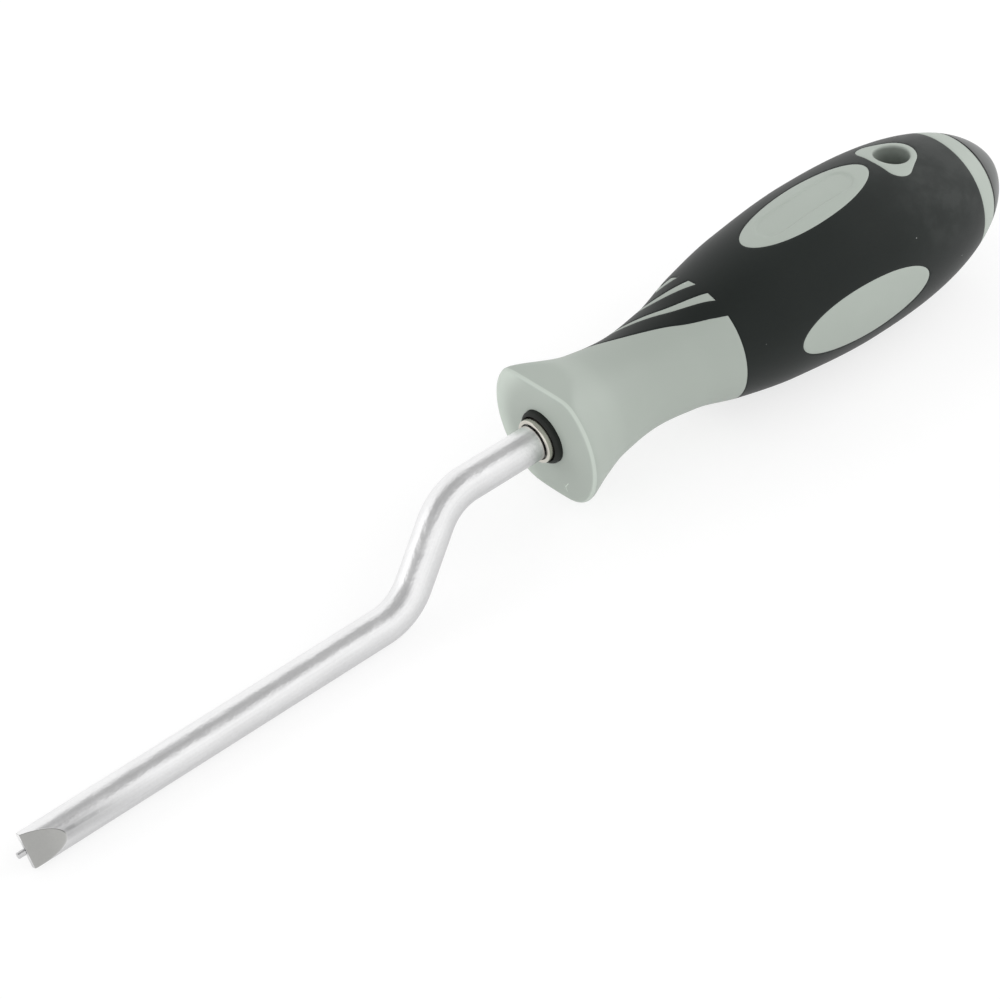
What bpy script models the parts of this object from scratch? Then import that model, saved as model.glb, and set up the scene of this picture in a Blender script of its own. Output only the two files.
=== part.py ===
"""Spoke nipple screwdriver: a cranked shank that spins freely in a two-material handle."""

import math

import bmesh
import bpy
import numpy as np
from mathutils import Matrix

MM = 0.001

# Driving dimensions of the shank
SHANK_DIAMETER = 7.0 * MM
CRANK_OFFSET = 14.9 * MM
CRANK_BEND = math.radians(41.5)
BEND_RADIUS = 14.0 * MM
NECK_REACH = 23.4 * MM
BLADE_REACH = 81.8 * MM
BLADE_LENGTH = 6.9 * MM
BLADE_END_THICKNESS = 1.4 * MM
PIN_DIAMETER = 1.2 * MM
PIN_REACH = 1.6 * MM

# Driving dimensions of the handle's form
HANDLE_LENGTH = 115.5 * MM
FLANGE_RADIUS = 14.6 * MM
RIM_WIDTH = 1.2 * MM
RIM_DROP = 0.6 * MM
THUMB_FLAT_HEIGHT = 11.4 * MM
UNDER_FLAT_HEIGHT = 13.2 * MM
WAIST_RADIUS = 9.7 * MM
WAIST_STATION = 21.0 * MM
BELLY_RADIUS = 17.3 * MM
REAR_LENGTH = 43.4 * MM
REAR_ROUNDING = 2.5

# Driving dimensions of the cover, its windows, the hang hole and the pad
COVER_THICKNESS = 2.0 * MM
COVER_FRONT = 39.3 * MM
COVER_POINT = 15.2 * MM
COVER_HALF_WIDTH = 13.15 * MM
COVER_TURN = math.radians(-45.0)
OVAL_LENGTH = 31.9 * MM
OVAL_WIDTH = 12.5 * MM
OVAL_TURNS = tuple(math.radians(turn) for turn in (-2.0, 92.0, 178.0, 272.0))
HANG_HOLE_DIAMETER = 7.0 * MM
HOLE_SETBACK = 25.1 * MM
HOLE_TURN = math.radians(-2.0)
BAND_WIDTH = 4.85 * MM
PAD_LENGTH = 8.4 * MM
STUD_DIAMETER = 7.6 * MM
STUD_LENGTH = 5.2 * MM

# Driving dimensions of the bearing inside the handle
JOURNAL_DIAMETER = 5.0 * MM
JOURNAL_LENGTH = 47.9 * MM
BUSH_LENGTH = 9.8 * MM
BUSH_STEP = 0.55 * MM
NOSE_STEP = 0.40 * MM
NOSE_REACH = 2.45 * MM
NOSE_RECESS = 0.6 * MM
NOSE_RECESS_WIDTH = 0.25 * MM
TUBE_WALL = 0.95 * MM
TUBE_FRONT = 2.6 * MM
SEAL_FACE_WIDTH = 0.80 * MM
SEAL_LIP_WIDTH = 0.35 * MM
SEAL_REACH = 1.3 * MM
SEAL_COLLAR = 0.75 * MM
RING_THICKNESS = 0.8 * MM
RING_WIDTH = 1.1 * MM
RING_OPENING = 2.75 * MM
RING_SETBACK = 2.2 * MM
GROOVE_DEPTH = 0.45 * MM
WASHER_THICKNESS = 0.8 * MM

# Clearances and small edges
GAP = 0.2 * MM
RUNNING_GAP = 0.1 * MM
MOUTH_GAP = 0.45 * MM
FLOOR_GAP = 0.1 * MM
BORE_SPARE = 1.5 * MM
SMALL_EDGE = 0.3 * MM
JOURNAL_CHAMFER = 0.5 * MM
JOURNAL_ROOT = 4.0 * MM

# How the half-width falls from the flange to the waist and rises from there to the belly.
# Each pair is a share of the way along and a share of the way from the small to the large radius.
NECK_CURVE = ((0.23, 0.603), (0.54, 0.206))
SHOULDER_CURVE = ((0.192, 0.137), (0.373, 0.474), (0.624, 0.800))

# Flats on the belly's four sides: how far each dips below the corners, as a share of the half-width
BELLY_FLATNESS = 0.02

# Flats on the flange, above and below: the way the upper one faces, how fast both leave the axis
# towards the butt, and how crisp their edges are
FLAT_TURN = math.radians(-5.0)
FLAT_RISE = 0.13
FLAT_CRISPNESS = 24.0

# Each chevron: where its point lies between COVER_POINT and COVER_FRONT, and the
# outer and inner edges of its ends as shares of COVER_HALF_WIDTH
CHEVRONS = ((0.30, 0.910, 0.826), (0.62, 0.656, 0.535), (0.86, 0.295, 0.150))
CHEVRON_POINT_LENGTH = 1.4 * MM
ARM_BOW = 0.8
BORDER_BOW = 0.75
ARM_OVERSHOOT = 1.2

# Stations along the handle, from its front face
BELLY_STATION = HANDLE_LENGTH - REAR_LENGTH
PAD_FRONT = HANDLE_LENGTH - PAD_LENGTH
COVER_REAR = PAD_FRONT - BAND_WIDTH
HOLE_STATION = HANDLE_LENGTH - HOLE_SETBACK
HOLE_RADIUS = HANG_HOLE_DIAMETER / 2

# The flush land round the hang hole, and the ovals between it and the cover's front edge
SURROUND_REAR_RADIUS = HOLE_RADIUS + 1.45 * MM
SURROUND_CORNER_RADIUS = 2.7 * MM
SURROUND_CORNER_SPREAD = HOLE_RADIUS + 0.5 * MM
SURROUND_FRONT = HOLE_STATION - HOLE_RADIUS - 1.3 * MM
OVAL_PLACE = 0.607
OVAL_STATION = COVER_FRONT + OVAL_PLACE * (SURROUND_FRONT - COVER_FRONT)

# The shank, and the pin's root inside the blade
SHANK_RADIUS = SHANK_DIAMETER / 2
PIN_WALL = 0.17 * MM
PIN_ROOT_RADIUS = BLADE_END_THICKNESS / 2 - PIN_WALL - GAP / 2
PIN_ROOT_LENGTH = 4.8 * MM

# The bearing, from the journal outwards
JOURNAL_RADIUS = JOURNAL_DIAMETER / 2
BUSH_RADIUS = SHANK_RADIUS + BUSH_STEP
NOSE_RADIUS = BUSH_RADIUS + NOSE_STEP
TUBE_INNER = BUSH_RADIUS + GAP
TUBE_OUTER = TUBE_INNER + TUBE_WALL
BORE_RADIUS = TUBE_OUTER + GAP
SEAL_INNER = NOSE_RADIUS + GAP
SEAL_FACE_RADIUS = SEAL_INNER + SEAL_FACE_WIDTH
SEAL_LIP_RADIUS = SEAL_INNER + SEAL_LIP_WIDTH
SEAL_SEAT_RADIUS = SEAL_FACE_RADIUS + GAP
RING_OUTER = JOURNAL_RADIUS + RING_WIDTH
RING_STATION = JOURNAL_LENGTH - RING_SETBACK
WASHER_STATION = RING_STATION - GAP - WASHER_THICKNESS
REAR_BUSH_END = WASHER_STATION - GAP
STUD_RADIUS = STUD_DIAMETER / 2

# Where everything lies: the handle's axis along X, the butt towards +X, the belly on z = 0
AXIS_HEIGHT = BELLY_RADIUS * (1 - BELLY_FLATNESS)
FIRST_CORNER = -NECK_REACH
SECOND_CORNER = FIRST_CORNER - CRANK_OFFSET / math.tan(CRANK_BEND)
BLADE_END = SECOND_CORNER - BLADE_REACH
TIP_END = BLADE_END - PIN_REACH
FACE_X = -(HANDLE_LENGTH + TIP_END) / 2
REST_HEIGHT = AXIS_HEIGHT - SHANK_RADIUS - FLOOR_GAP
REST_TURN = math.acos(min(1.0, REST_HEIGHT / CRANK_OFFSET))

# Mesh fineness
ROUND_STEPS = 32
SMALL_STEPS = 20
HANDLE_STEPS = 40
HANDLE_STATIONS = 30
BEND_STEPS = 8
OUTLINE_STEPS = 24
ARM_STEPS = 8
STATION_MARGIN = 0.4 * MM
ARM_MARGIN = 0.1 * MM
LEAST_RADIUS = 0.3 * MM
LEAST_FACING = 0.05
SMOOTH_LIMIT = math.radians(35.0)
WELD = 0.001 * MM
BIG = 2 * BELLY_RADIUS


def clear_scene():
    """Remove every object, so that the script builds the same thing each time."""
    for item in list(bpy.data.objects):
        bpy.data.objects.remove(item, do_unlink=True)


def new_collection(name):
    """A collection under the scene's own."""
    collection = bpy.data.collections.new(name)
    bpy.context.scene.collection.children.link(collection)
    return collection


def principled(name, colour, roughness, metallic):
    """A plain material with the colour, roughness and metallic value given."""
    material = bpy.data.materials.new(name)
    material.use_nodes = True
    shader = material.node_tree.nodes["Principled BSDF"]
    shader.inputs["Base Color"].default_value = (*colour, 1.0)
    shader.inputs["Roughness"].default_value = roughness
    shader.inputs["Metallic"].default_value = metallic
    return material


def place_on_axis(item, turn=0.0):
    """Put an object's origin on the handle's axis at the front face, turned about that axis."""
    item.location = (FACE_X, 0.0, AXIS_HEIGHT)
    item.rotation_euler = (turn, 0.0, 0.0)


def new_object(name, mesh, collection, turn=0.0):
    """An object for a mesh whose coordinates start at the handle's front face."""
    item = bpy.data.objects.new(name, mesh)
    collection.objects.link(item)
    place_on_axis(item, turn)
    return item


def mesh_from(name, form):
    """A mesh from a bmesh, with its faces turned outwards."""
    bmesh.ops.recalc_face_normals(form, faces=form.faces[:])
    mesh = bpy.data.meshes.new(name)
    form.to_mesh(mesh)
    form.free()
    return mesh


def hide_cutter(item):
    """Keep a cutting shape out of renders."""
    item.hide_render = True
    item.display_type = "WIRE"
    return item


def boolean(item, other, operation):
    """Join, cut or keep the common part of two solids."""
    modifier = item.modifiers.new(f"{operation.title()} {other.name}", "BOOLEAN")
    modifier.operation = operation
    modifier.solver = "EXACT"
    modifier.object = other


def shade_smooth(item, limit=SMOOTH_LIMIT):
    """Smooth shading with edges kept sharp above the limit."""
    item.data.polygons.foreach_set("use_smooth", [True] * len(item.data.polygons))
    item.data.set_sharp_from_angle(angle=limit)


def turned(name, collection, profile, steps, turn=0.0):
    """A solid of revolution about X from (station, radius) pairs; closed profiles give rings."""
    form = bmesh.new()
    corners = [form.verts.new((station, 0.0, radius)) for station, radius in profile]
    for first, second in zip(corners, corners[1:]):
        form.edges.new((first, second))
    if profile[0][1] > 0.0:
        form.edges.new((corners[-1], corners[0]))
    mesh = bpy.data.meshes.new(name)
    form.to_mesh(mesh)
    form.free()
    item = new_object(name, mesh, collection, turn)
    screw = item.modifiers.new("Turn about the axis", "SCREW")
    screw.axis = "X"
    screw.steps = steps
    screw.render_steps = steps
    screw.use_merge_vertices = True
    screw.merge_threshold = 10 * WELD
    screw.use_normal_calculate = True
    return item


def apply_to_mesh(item):
    """Replace an object's data by its evaluated mesh, so that later cuts start from plain faces."""
    graph = bpy.context.evaluated_depsgraph_get()
    mesh = bpy.data.meshes.new_from_object(item.evaluated_get(graph))
    item.modifiers.clear()
    form = bmesh.new()
    form.from_mesh(mesh)
    bmesh.ops.remove_doubles(form, verts=form.verts[:], dist=WELD)
    item.data = mesh_from(item.name, form)
    return item


def smooth_curve(pairs, places):
    """Cubic curve through the pairs that rises and falls only where they do."""
    stations = np.array([pair[0] for pair in pairs])
    values = np.array([pair[1] for pair in pairs])
    widths = np.diff(stations)
    rises = np.diff(values) / widths
    slopes = np.zeros(len(stations))
    slopes[0] = rises[0]
    same_way = rises[:-1] * rises[1:] > 0.0
    before = 2 * widths[1:] + widths[:-1]
    after = widths[1:] + 2 * widths[:-1]
    weights = before / np.where(same_way, rises[:-1], 1.0) + after / np.where(same_way, rises[1:], 1.0)
    slopes[1:-1] = np.where(same_way, (before + after) / weights, 0.0)
    index = np.clip(np.searchsorted(stations, places) - 1, 0, len(widths) - 1)
    share = (places - stations[index]) / widths[index]
    start = values[index] * (1 + 2 * share) * (1 - share) ** 2
    leave = slopes[index] * widths[index] * share * (1 - share) ** 2
    end = values[index + 1] * share ** 2 * (3 - 2 * share)
    arrive = slopes[index + 1] * widths[index] * share ** 2 * (share - 1)
    return start + leave + end + arrive


def front_profile():
    """Stations and half-widths from the flange over the waist to the belly."""
    pairs = [(RIM_WIDTH, FLANGE_RADIUS)]
    for along, share in NECK_CURVE:
        pairs.append((RIM_WIDTH + along * (WAIST_STATION - RIM_WIDTH),
                      WAIST_RADIUS + share * (FLANGE_RADIUS - WAIST_RADIUS)))
    pairs.append((WAIST_STATION, WAIST_RADIUS))
    for along, share in SHOULDER_CURVE:
        pairs.append((WAIST_STATION + along * (BELLY_STATION - WAIST_STATION),
                      WAIST_RADIUS + share * (BELLY_RADIUS - WAIST_RADIUS)))
    pairs.append((BELLY_STATION, BELLY_RADIUS))
    return pairs


def half_width(stations):
    """The handle's half-width over its corners, at stations behind the front face."""
    front = smooth_curve(front_profile(), np.clip(stations, RIM_WIDTH, BELLY_STATION))
    reach = np.clip((stations - BELLY_STATION) / REAR_LENGTH, 0.0, 1.0)
    return front * np.sqrt(1 - reach ** REAR_ROUNDING)


def cut_by_flat(radii, stations, angles, height, turn):
    """Radii brought down to a flat that faces the turn given, with the edge between them softened."""
    facing = np.maximum(np.cos(angles - turn), LEAST_FACING)
    flat = (height + FLAT_RISE * stations) / facing
    with np.errstate(divide="ignore"):
        return (radii ** -FLAT_CRISPNESS + flat ** -FLAT_CRISPNESS) ** (-1 / FLAT_CRISPNESS)


def handle_radius(stations, angles):
    """Distance from the axis to the handle's surface: slight flats on the belly's four sides,
    two on the flange, and the rim's edge rounded off."""
    dip = BELLY_FLATNESS * (1 + np.cos(4 * angles)) / 2
    radii = half_width(stations) * (1 - dip)
    radii = cut_by_flat(radii, stations, angles, THUMB_FLAT_HEIGHT, FLAT_TURN)
    radii = cut_by_flat(radii, stations, angles, UNDER_FLAT_HEIGHT, FLAT_TURN + math.pi)
    edge = np.clip(1 - stations / RIM_WIDTH, 0.0, 1.0)
    return radii - RIM_DROP * edge ** 2


def loft(name, collection, start, end, growth, turn=0.0):
    """The handle's body between two stations, grown or shrunk, as a closed solid."""
    shares = (1 - np.cos(np.linspace(0.0, math.pi, HANDLE_STATIONS + 1))) / 2
    inner = HANDLE_LENGTH * shares
    inner = np.sort(np.append(inner[abs(inner - RIM_WIDTH) > STATION_MARGIN], RIM_WIDTH))
    inner = inner[(inner > start + STATION_MARGIN) & (inner < end - STATION_MARGIN)]
    stations = np.concatenate(([start], inner, [end]))[:, None]
    angles = np.linspace(0.0, 2 * math.pi, HANDLE_STEPS, endpoint=False)[None, :]
    inside = np.clip(stations, 0.0, HANDLE_LENGTH)
    radii = np.maximum(handle_radius(inside, angles) + growth, LEAST_RADIUS)
    form = bmesh.new()
    rings = []
    for row in range(len(stations)):
        across = -radii[row] * np.sin(angles[0])
        up = radii[row] * np.cos(angles[0])
        station = float(stations[row, 0])
        rings.append([form.verts.new((station, y, z)) for y, z in zip(across, up)])
    form.faces.new(rings[0])
    form.faces.new(rings[-1])
    for ring, following in zip(rings, rings[1:]):
        for step in range(HANDLE_STEPS):
            after = (step + 1) % HANDLE_STEPS
            form.faces.new((ring[step], ring[after], following[after], following[step]))
    return new_object(name, mesh_from(name, form), collection, turn)


def hull_prism(name, collection, points, bottom, top, turn=0.0):
    """A prism round a set of points in the X-Y plane, from bottom to top."""
    form = bmesh.new()
    for x, y in points:
        form.verts.new((x, y, bottom))
        form.verts.new((x, y, top))
    bmesh.ops.convex_hull(form, input=form.verts[:])
    return hide_cutter(new_object(name, mesh_from(name, form), collection, turn))


def outline_prism(name, collection, outline, bottom, top, turn=0.0):
    """A prism with the outline given in the X-Y plane, from bottom to top."""
    form = bmesh.new()
    face = form.faces.new([form.verts.new((x, y, bottom)) for x, y in outline])
    raised = bmesh.ops.extrude_face_region(form, geom=[face])["geom"]
    corners = [part for part in raised if isinstance(part, bmesh.types.BMVert)]
    bmesh.ops.translate(form, verts=corners, vec=(0.0, 0.0, top - bottom))
    return hide_cutter(new_object(name, mesh_from(name, form), collection, turn))


def ellipse_points(centre, half_length, half_width_across):
    """Points round an ellipse."""
    turns = 2 * math.pi * (np.arange(OUTLINE_STEPS) + 0.5) / OUTLINE_STEPS
    return np.stack((centre[0] + half_length * np.cos(turns),
                     centre[1] + half_width_across * np.sin(turns)), axis=1)


def bowed_arm(point, half_spread, shift, bow=ARM_BOW):
    """One arm of a V from its point to COVER_FRONT, bowed outwards and moved sideways by the shift."""
    share = np.linspace(0.0, ARM_OVERSHOOT, ARM_STEPS + 1)
    along = point + share * (COVER_FRONT - point)
    across = half_spread * share ** bow
    run = np.gradient(along)
    rise = np.gradient(across)
    length = np.hypot(run, rise)
    along = along + shift * rise / length
    across = across - shift * run / length
    tip = along[0] - across[0] * run[0] / rise[0]
    end = COVER_FRONT - abs(shift)
    inside = (across > ARM_MARGIN) & (along < end - ARM_MARGIN)
    last = np.interp(end, along, across)
    return [(tip, 0.0), *zip(along[inside], across[inside]), (end, last)]


def mirrored(arm):
    """The same arm on the other side, leaving out the shared point."""
    return [(x, -y) for x, y in arm[1:]]


def chevron_outline(chevron, shrink):
    """A V pointing to the blade, thinner at its point than at its two ends."""
    place, outer, inner = chevron
    first = COVER_POINT + place * (COVER_FRONT - COVER_POINT)
    front = bowed_arm(first, outer * COVER_HALF_WIDTH, shrink)
    rear = bowed_arm(first + CHEVRON_POINT_LENGTH, inner * COVER_HALF_WIDTH, -shrink)
    return [*mirrored(front)[::-1], *front, *rear[:0:-1], rear[0], *mirrored(rear)]


def cover_body(name, collection, cutters, gap):
    """The overmould's space: a shell over the core, open at the windows.

    With no gap it is the cover itself; with a gap it is the pocket cut for it in the core."""
    grow = 4 * GAP if gap else 0.0
    body = loft(name, collection, COVER_POINT - 3 * MM, COVER_REAR + gap, grow)
    core = loft(f"{name} inside", cutters, -BIG, HANDLE_LENGTH + BIG, -COVER_THICKNESS - gap)
    boolean(body, hide_cutter(core), "DIFFERENCE")

    front = COVER_FRONT - gap
    arm = bowed_arm(COVER_POINT, COVER_HALF_WIDTH, -gap, BORDER_BOW)
    arrow = [(-BIG, -BIG), (front, -BIG), *mirrored(arm)[::-1], *arm, (front, BIG), (-BIG, BIG)]
    middle = GAP - gap
    above = outline_prism(f"{name} arrow", cutters, arrow, middle - GAP, BIG, COVER_TURN)
    boolean(body, above, "DIFFERENCE")
    block = ((-BIG, -BIG), (front, -BIG), (front, BIG), (-BIG, BIG))
    below = outline_prism(f"{name} block", cutters, block, -BIG, middle, COVER_TURN)
    boolean(body, below, "DIFFERENCE")

    for number, chevron in enumerate(CHEVRONS):
        bar = outline_prism(f"{name} chevron {number}", cutters, chevron_outline(chevron, gap),
                            -3 * GAP, BIG, COVER_TURN)
        boolean(body, bar, "DIFFERENCE")
    window = ellipse_points((OVAL_STATION, 0.0), OVAL_LENGTH / 2 - gap, OVAL_WIDTH / 2 - gap)
    for side, turn in enumerate(OVAL_TURNS):
        oval = hull_prism(f"{name} oval {side}", cutters, window, GAP, BIG, turn)
        boolean(body, oval, "DIFFERENCE")
    surround = hull_prism(f"{name} surround", cutters, surround_points(gap), -BIG, BIG, HOLE_TURN)
    boolean(body, surround, "DIFFERENCE")
    return body


def surround_points(shrink):
    """The flush land round the hang hole: a rounded triangle with its base towards the front."""
    rear = SURROUND_REAR_RADIUS - shrink
    corner = SURROUND_CORNER_RADIUS - shrink
    front = SURROUND_FRONT + SURROUND_CORNER_RADIUS
    rounds = [ellipse_points((HOLE_STATION, 0.0), rear, rear)]
    for side in (-1, 1):
        rounds.append(ellipse_points((front, side * SURROUND_CORNER_SPREAD), corner, corner))
    return np.concatenate(rounds)


def crank_path():
    """Centre line of the shank: straight, bend, slope, bend, straight; in the X-Z plane."""
    tangent = BEND_RADIUS * math.tan(CRANK_BEND / 2)
    points = [(-NOSE_REACH - MOUTH_GAP, 0.0)]
    for step in range(BEND_STEPS + 1):
        turn = CRANK_BEND * step / BEND_STEPS
        points.append((FIRST_CORNER + tangent - BEND_RADIUS * math.sin(turn),
                       -BEND_RADIUS * (1 - math.cos(turn))))
    for step in range(BEND_STEPS, -1, -1):
        turn = CRANK_BEND * step / BEND_STEPS
        points.append((SECOND_CORNER - tangent + BEND_RADIUS * math.sin(turn),
                       -CRANK_OFFSET + BEND_RADIUS * (1 - math.cos(turn))))
    points.append((BLADE_END, -CRANK_OFFSET))
    return points


def shank_rod(collection):
    """The cranked rod as a tube of full section with closed ends."""
    curve = bpy.data.curves.new("cranked_shank", "CURVE")
    curve.dimensions = "3D"
    curve.twist_mode = "Z_UP"
    curve.bevel_depth = SHANK_RADIUS
    curve.bevel_resolution = ROUND_STEPS // 4 - 2
    curve.use_fill_caps = True
    path = crank_path()
    spline = curve.splines.new("POLY")
    spline.points.add(len(path) - 1)
    for point, (x, z) in zip(spline.points, path):
        point.co = (x, 0.0, z, 1.0)
    item = new_object("cranked_shank", curve, collection, -REST_TURN)
    graph = bpy.context.evaluated_depsgraph_get()
    mesh = bpy.data.meshes.new_from_object(item.evaluated_get(graph))
    bpy.data.objects.remove(item, do_unlink=True)
    form = bmesh.new()
    form.from_mesh(mesh)
    bmesh.ops.remove_doubles(form, verts=form.verts[:], dist=WELD)
    return new_object("cranked_shank", mesh_from("cranked_shank", form), collection, -REST_TURN)


def journal(cutters):
    """The turned-down end that runs in the bushes, with the retaining ring's groove."""
    groove = JOURNAL_RADIUS - GROOVE_DEPTH
    groove_end = RING_STATION + RING_THICKNESS + GAP
    edge = JOURNAL_CHAMFER
    profile = ((-JOURNAL_ROOT, 0.0), (-JOURNAL_ROOT, JOURNAL_RADIUS), (RING_STATION - GAP, JOURNAL_RADIUS),
               (RING_STATION - GAP, groove), (groove_end, groove), (groove_end, JOURNAL_RADIUS),
               (JOURNAL_LENGTH - edge, JOURNAL_RADIUS), (JOURNAL_LENGTH, JOURNAL_RADIUS - edge),
               (JOURNAL_LENGTH, 0.0))
    return hide_cutter(apply_to_mesh(turned("journal", cutters, profile, ROUND_STEPS, -REST_TURN)))


def blade_wedge(cutters, side):
    """What is cut away to leave one flat of the blade."""
    end = BLADE_END - MM
    slope = (SHANK_RADIUS - BLADE_END_THICKNESS / 2) / BLADE_LENGTH
    past = BLADE_END + 1.5 * BLADE_LENGTH
    near = side * (BLADE_END_THICKNESS / 2 - slope * MM)
    far = side * (BLADE_END_THICKNESS / 2 + slope * 1.5 * BLADE_LENGTH)
    outline = ((end, near), (past, far), (past, side * BIG), (end, side * BIG))
    middle = -CRANK_OFFSET
    return outline_prism(f"blade flat {side}", cutters, outline, middle - SHANK_DIAMETER,
                         middle + SHANK_DIAMETER, -REST_TURN)


def pin_profile():
    """The pilot pin: a slim root pressed into the blade and a thicker nose outside it."""
    nose = PIN_DIAMETER / 2
    root_end = BLADE_END + PIN_ROOT_LENGTH
    step = BLADE_END - GAP / 2
    edge = nose / 3
    return ((root_end, 0.0), (root_end, PIN_ROOT_RADIUS), (step, PIN_ROOT_RADIUS), (step, nose),
            (TIP_END + edge, nose), (TIP_END, nose - edge), (TIP_END, 0.0))


def pin_hole_profile():
    """The hole in the blade's end for the pin's root."""
    radius = PIN_ROOT_RADIUS + GAP / 2
    bottom = BLADE_END + PIN_ROOT_LENGTH + GAP
    return ((bottom, 0.0), (bottom, radius), (BLADE_END - MM, radius), (BLADE_END - MM, 0.0))


def lower(item):
    """Move a shape turned about the handle's axis down to the blade's own axis."""
    item.data.transform(Matrix.Translation((0.0, 0.0, -CRANK_OFFSET)))
    return item


def build_shank(collection, cutters, material):
    """The cranked shank with its journal, blade flats and pin hole."""
    shank = shank_rod(collection)
    boolean(shank, journal(cutters), "UNION")
    for side in (-1, 1):
        boolean(shank, blade_wedge(cutters, side), "DIFFERENCE")
    hole = lower(apply_to_mesh(turned("pin hole", cutters, pin_hole_profile(), SMALL_STEPS, -REST_TURN)))
    boolean(shank, hide_cutter(hole), "DIFFERENCE")
    return finish(shank, material)


def build_pin(collection, material):
    """The pilot pin."""
    pin = apply_to_mesh(turned("pilot_pin", collection, pin_profile(), SMALL_STEPS, -REST_TURN))
    return finish(lower(pin), material)


def finish(item, material):
    """Give a piece its material, keep its faces plain and shade it smooth."""
    apply_to_mesh(item)
    item.data.materials.clear()
    item.data.materials.append(material)
    shade_smooth(item)
    return item


def build_ring(name, collection, material, profile, turn=0.0):
    """A turned ring, tube or bush."""
    return finish(turned(name, collection, profile, ROUND_STEPS, turn), material)


def block_profile(start, end, inner, outer):
    """A plain ring's section."""
    return ((start, inner), (start, outer), (end, outer), (end, inner))


def build_bearing(collection, materials):
    """Tube, two bushes, seal and thrust washer, all held by the handle."""
    running = JOURNAL_RADIUS + RUNNING_GAP
    build_ring("bearing_tube", collection, materials["steel"],
               block_profile(TUBE_FRONT, REAR_BUSH_END, TUBE_INNER, TUBE_OUTER))
    nose = -NOSE_REACH
    recess = SHANK_RADIUS + NOSE_RECESS_WIDTH
    edge = SMALL_EDGE
    shoulder = TUBE_FRONT - GAP
    build_ring("front_bush", collection, materials["bronze"],
               ((nose + NOSE_RECESS, running), (nose + NOSE_RECESS, recess), (nose, recess),
                (nose, NOSE_RADIUS - edge), (nose + edge, NOSE_RADIUS),
                (shoulder, NOSE_RADIUS), (shoulder, BUSH_RADIUS),
                (TUBE_FRONT + BUSH_LENGTH, BUSH_RADIUS), (TUBE_FRONT + BUSH_LENGTH, running)))
    build_ring("rear_bush", collection, materials["bronze"],
               block_profile(REAR_BUSH_END - BUSH_LENGTH, REAR_BUSH_END, running, BUSH_RADIUS))
    build_ring("thrust_washer", collection, materials["steel"],
               block_profile(WASHER_STATION, WASHER_STATION + WASHER_THICKNESS, running, TUBE_OUTER))
    seat = TUBE_FRONT - GAP
    build_ring("dust_seal", collection, materials["rubber"],
               ((-SEAL_REACH, SEAL_INNER), (-SEAL_REACH, SEAL_LIP_RADIUS - edge / 2),
                (-SEAL_REACH + edge, SEAL_LIP_RADIUS), (-SEAL_COLLAR, SEAL_FACE_RADIUS),
                (seat, SEAL_FACE_RADIUS), (seat, SEAL_INNER)))


def build_retaining_ring(collection, cutters, material):
    """The open ring in the journal's groove; it turns with the shank."""
    inner = JOURNAL_RADIUS - GROOVE_DEPTH + GAP / 2
    ring = turned("retaining_ring", collection,
                  block_profile(RING_STATION, RING_STATION + RING_THICKNESS, inner, RING_OUTER),
                  ROUND_STEPS, -REST_TURN)
    apply_to_mesh(ring)
    front = RING_STATION - RING_THICKNESS
    rear = RING_STATION + 2 * RING_THICKNESS
    half = RING_OPENING / 2
    opening = ((front, -half), (rear, -half), (rear, half), (front, half))
    boolean(ring, outline_prism("ring opening", cutters, opening, 0.0, BIG, -REST_TURN), "DIFFERENCE")
    return finish(ring, material)


def build_core(collection, cutters, material):
    """The rigid moulding: lands flush with the cover, the bearing's bore, the hang hole, the pad's socket."""
    core = loft("handle_core", collection, 0.0, PAD_FRONT - GAP, 0.0)
    pocket = hide_cutter(cover_body("cover pocket", cutters, cutters, GAP))
    boolean(core, pocket, "DIFFERENCE")
    bore_end = JOURNAL_LENGTH + BORE_SPARE
    bore = ((-BIG, 0.0), (-BIG, SEAL_SEAT_RADIUS), (TUBE_FRONT - GAP / 2, SEAL_SEAT_RADIUS),
            (TUBE_FRONT - GAP / 2, BORE_RADIUS), (bore_end, BORE_RADIUS), (bore_end, 0.0))
    boolean(core, hide_cutter(apply_to_mesh(turned("bore", cutters, bore, ROUND_STEPS))), "DIFFERENCE")
    hole = ellipse_points((HOLE_STATION, 0.0), HOLE_RADIUS, HOLE_RADIUS)
    boolean(core, hull_prism("hang hole", cutters, hole, -BIG, BIG, HOLE_TURN), "DIFFERENCE")
    socket_end = PAD_FRONT - STUD_LENGTH - GAP
    socket_radius = STUD_RADIUS + GAP
    socket = ((socket_end, 0.0), (socket_end, socket_radius), (HANDLE_LENGTH, socket_radius),
              (HANDLE_LENGTH, 0.0))
    boolean(core, hide_cutter(apply_to_mesh(turned("socket", cutters, socket, ROUND_STEPS))), "DIFFERENCE")
    return finish(core, material)


def build_cover(collection, cutters, material):
    """The soft overmould."""
    return finish(cover_body("grip_cover", collection, cutters, 0.0), material)


def build_pad(collection, cutters, material):
    """The butt pad with the stud that holds it in the core."""
    pad = loft("butt_pad", collection, PAD_FRONT, HANDLE_LENGTH, 0.0)
    stud_end = PAD_FRONT - STUD_LENGTH
    stud = ((stud_end, 0.0), (stud_end, STUD_RADIUS), (PAD_FRONT + MM, STUD_RADIUS), (PAD_FRONT + MM, 0.0))
    boolean(pad, hide_cutter(apply_to_mesh(turned("stud", cutters, stud, ROUND_STEPS))), "UNION")
    return finish(pad, material)


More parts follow.
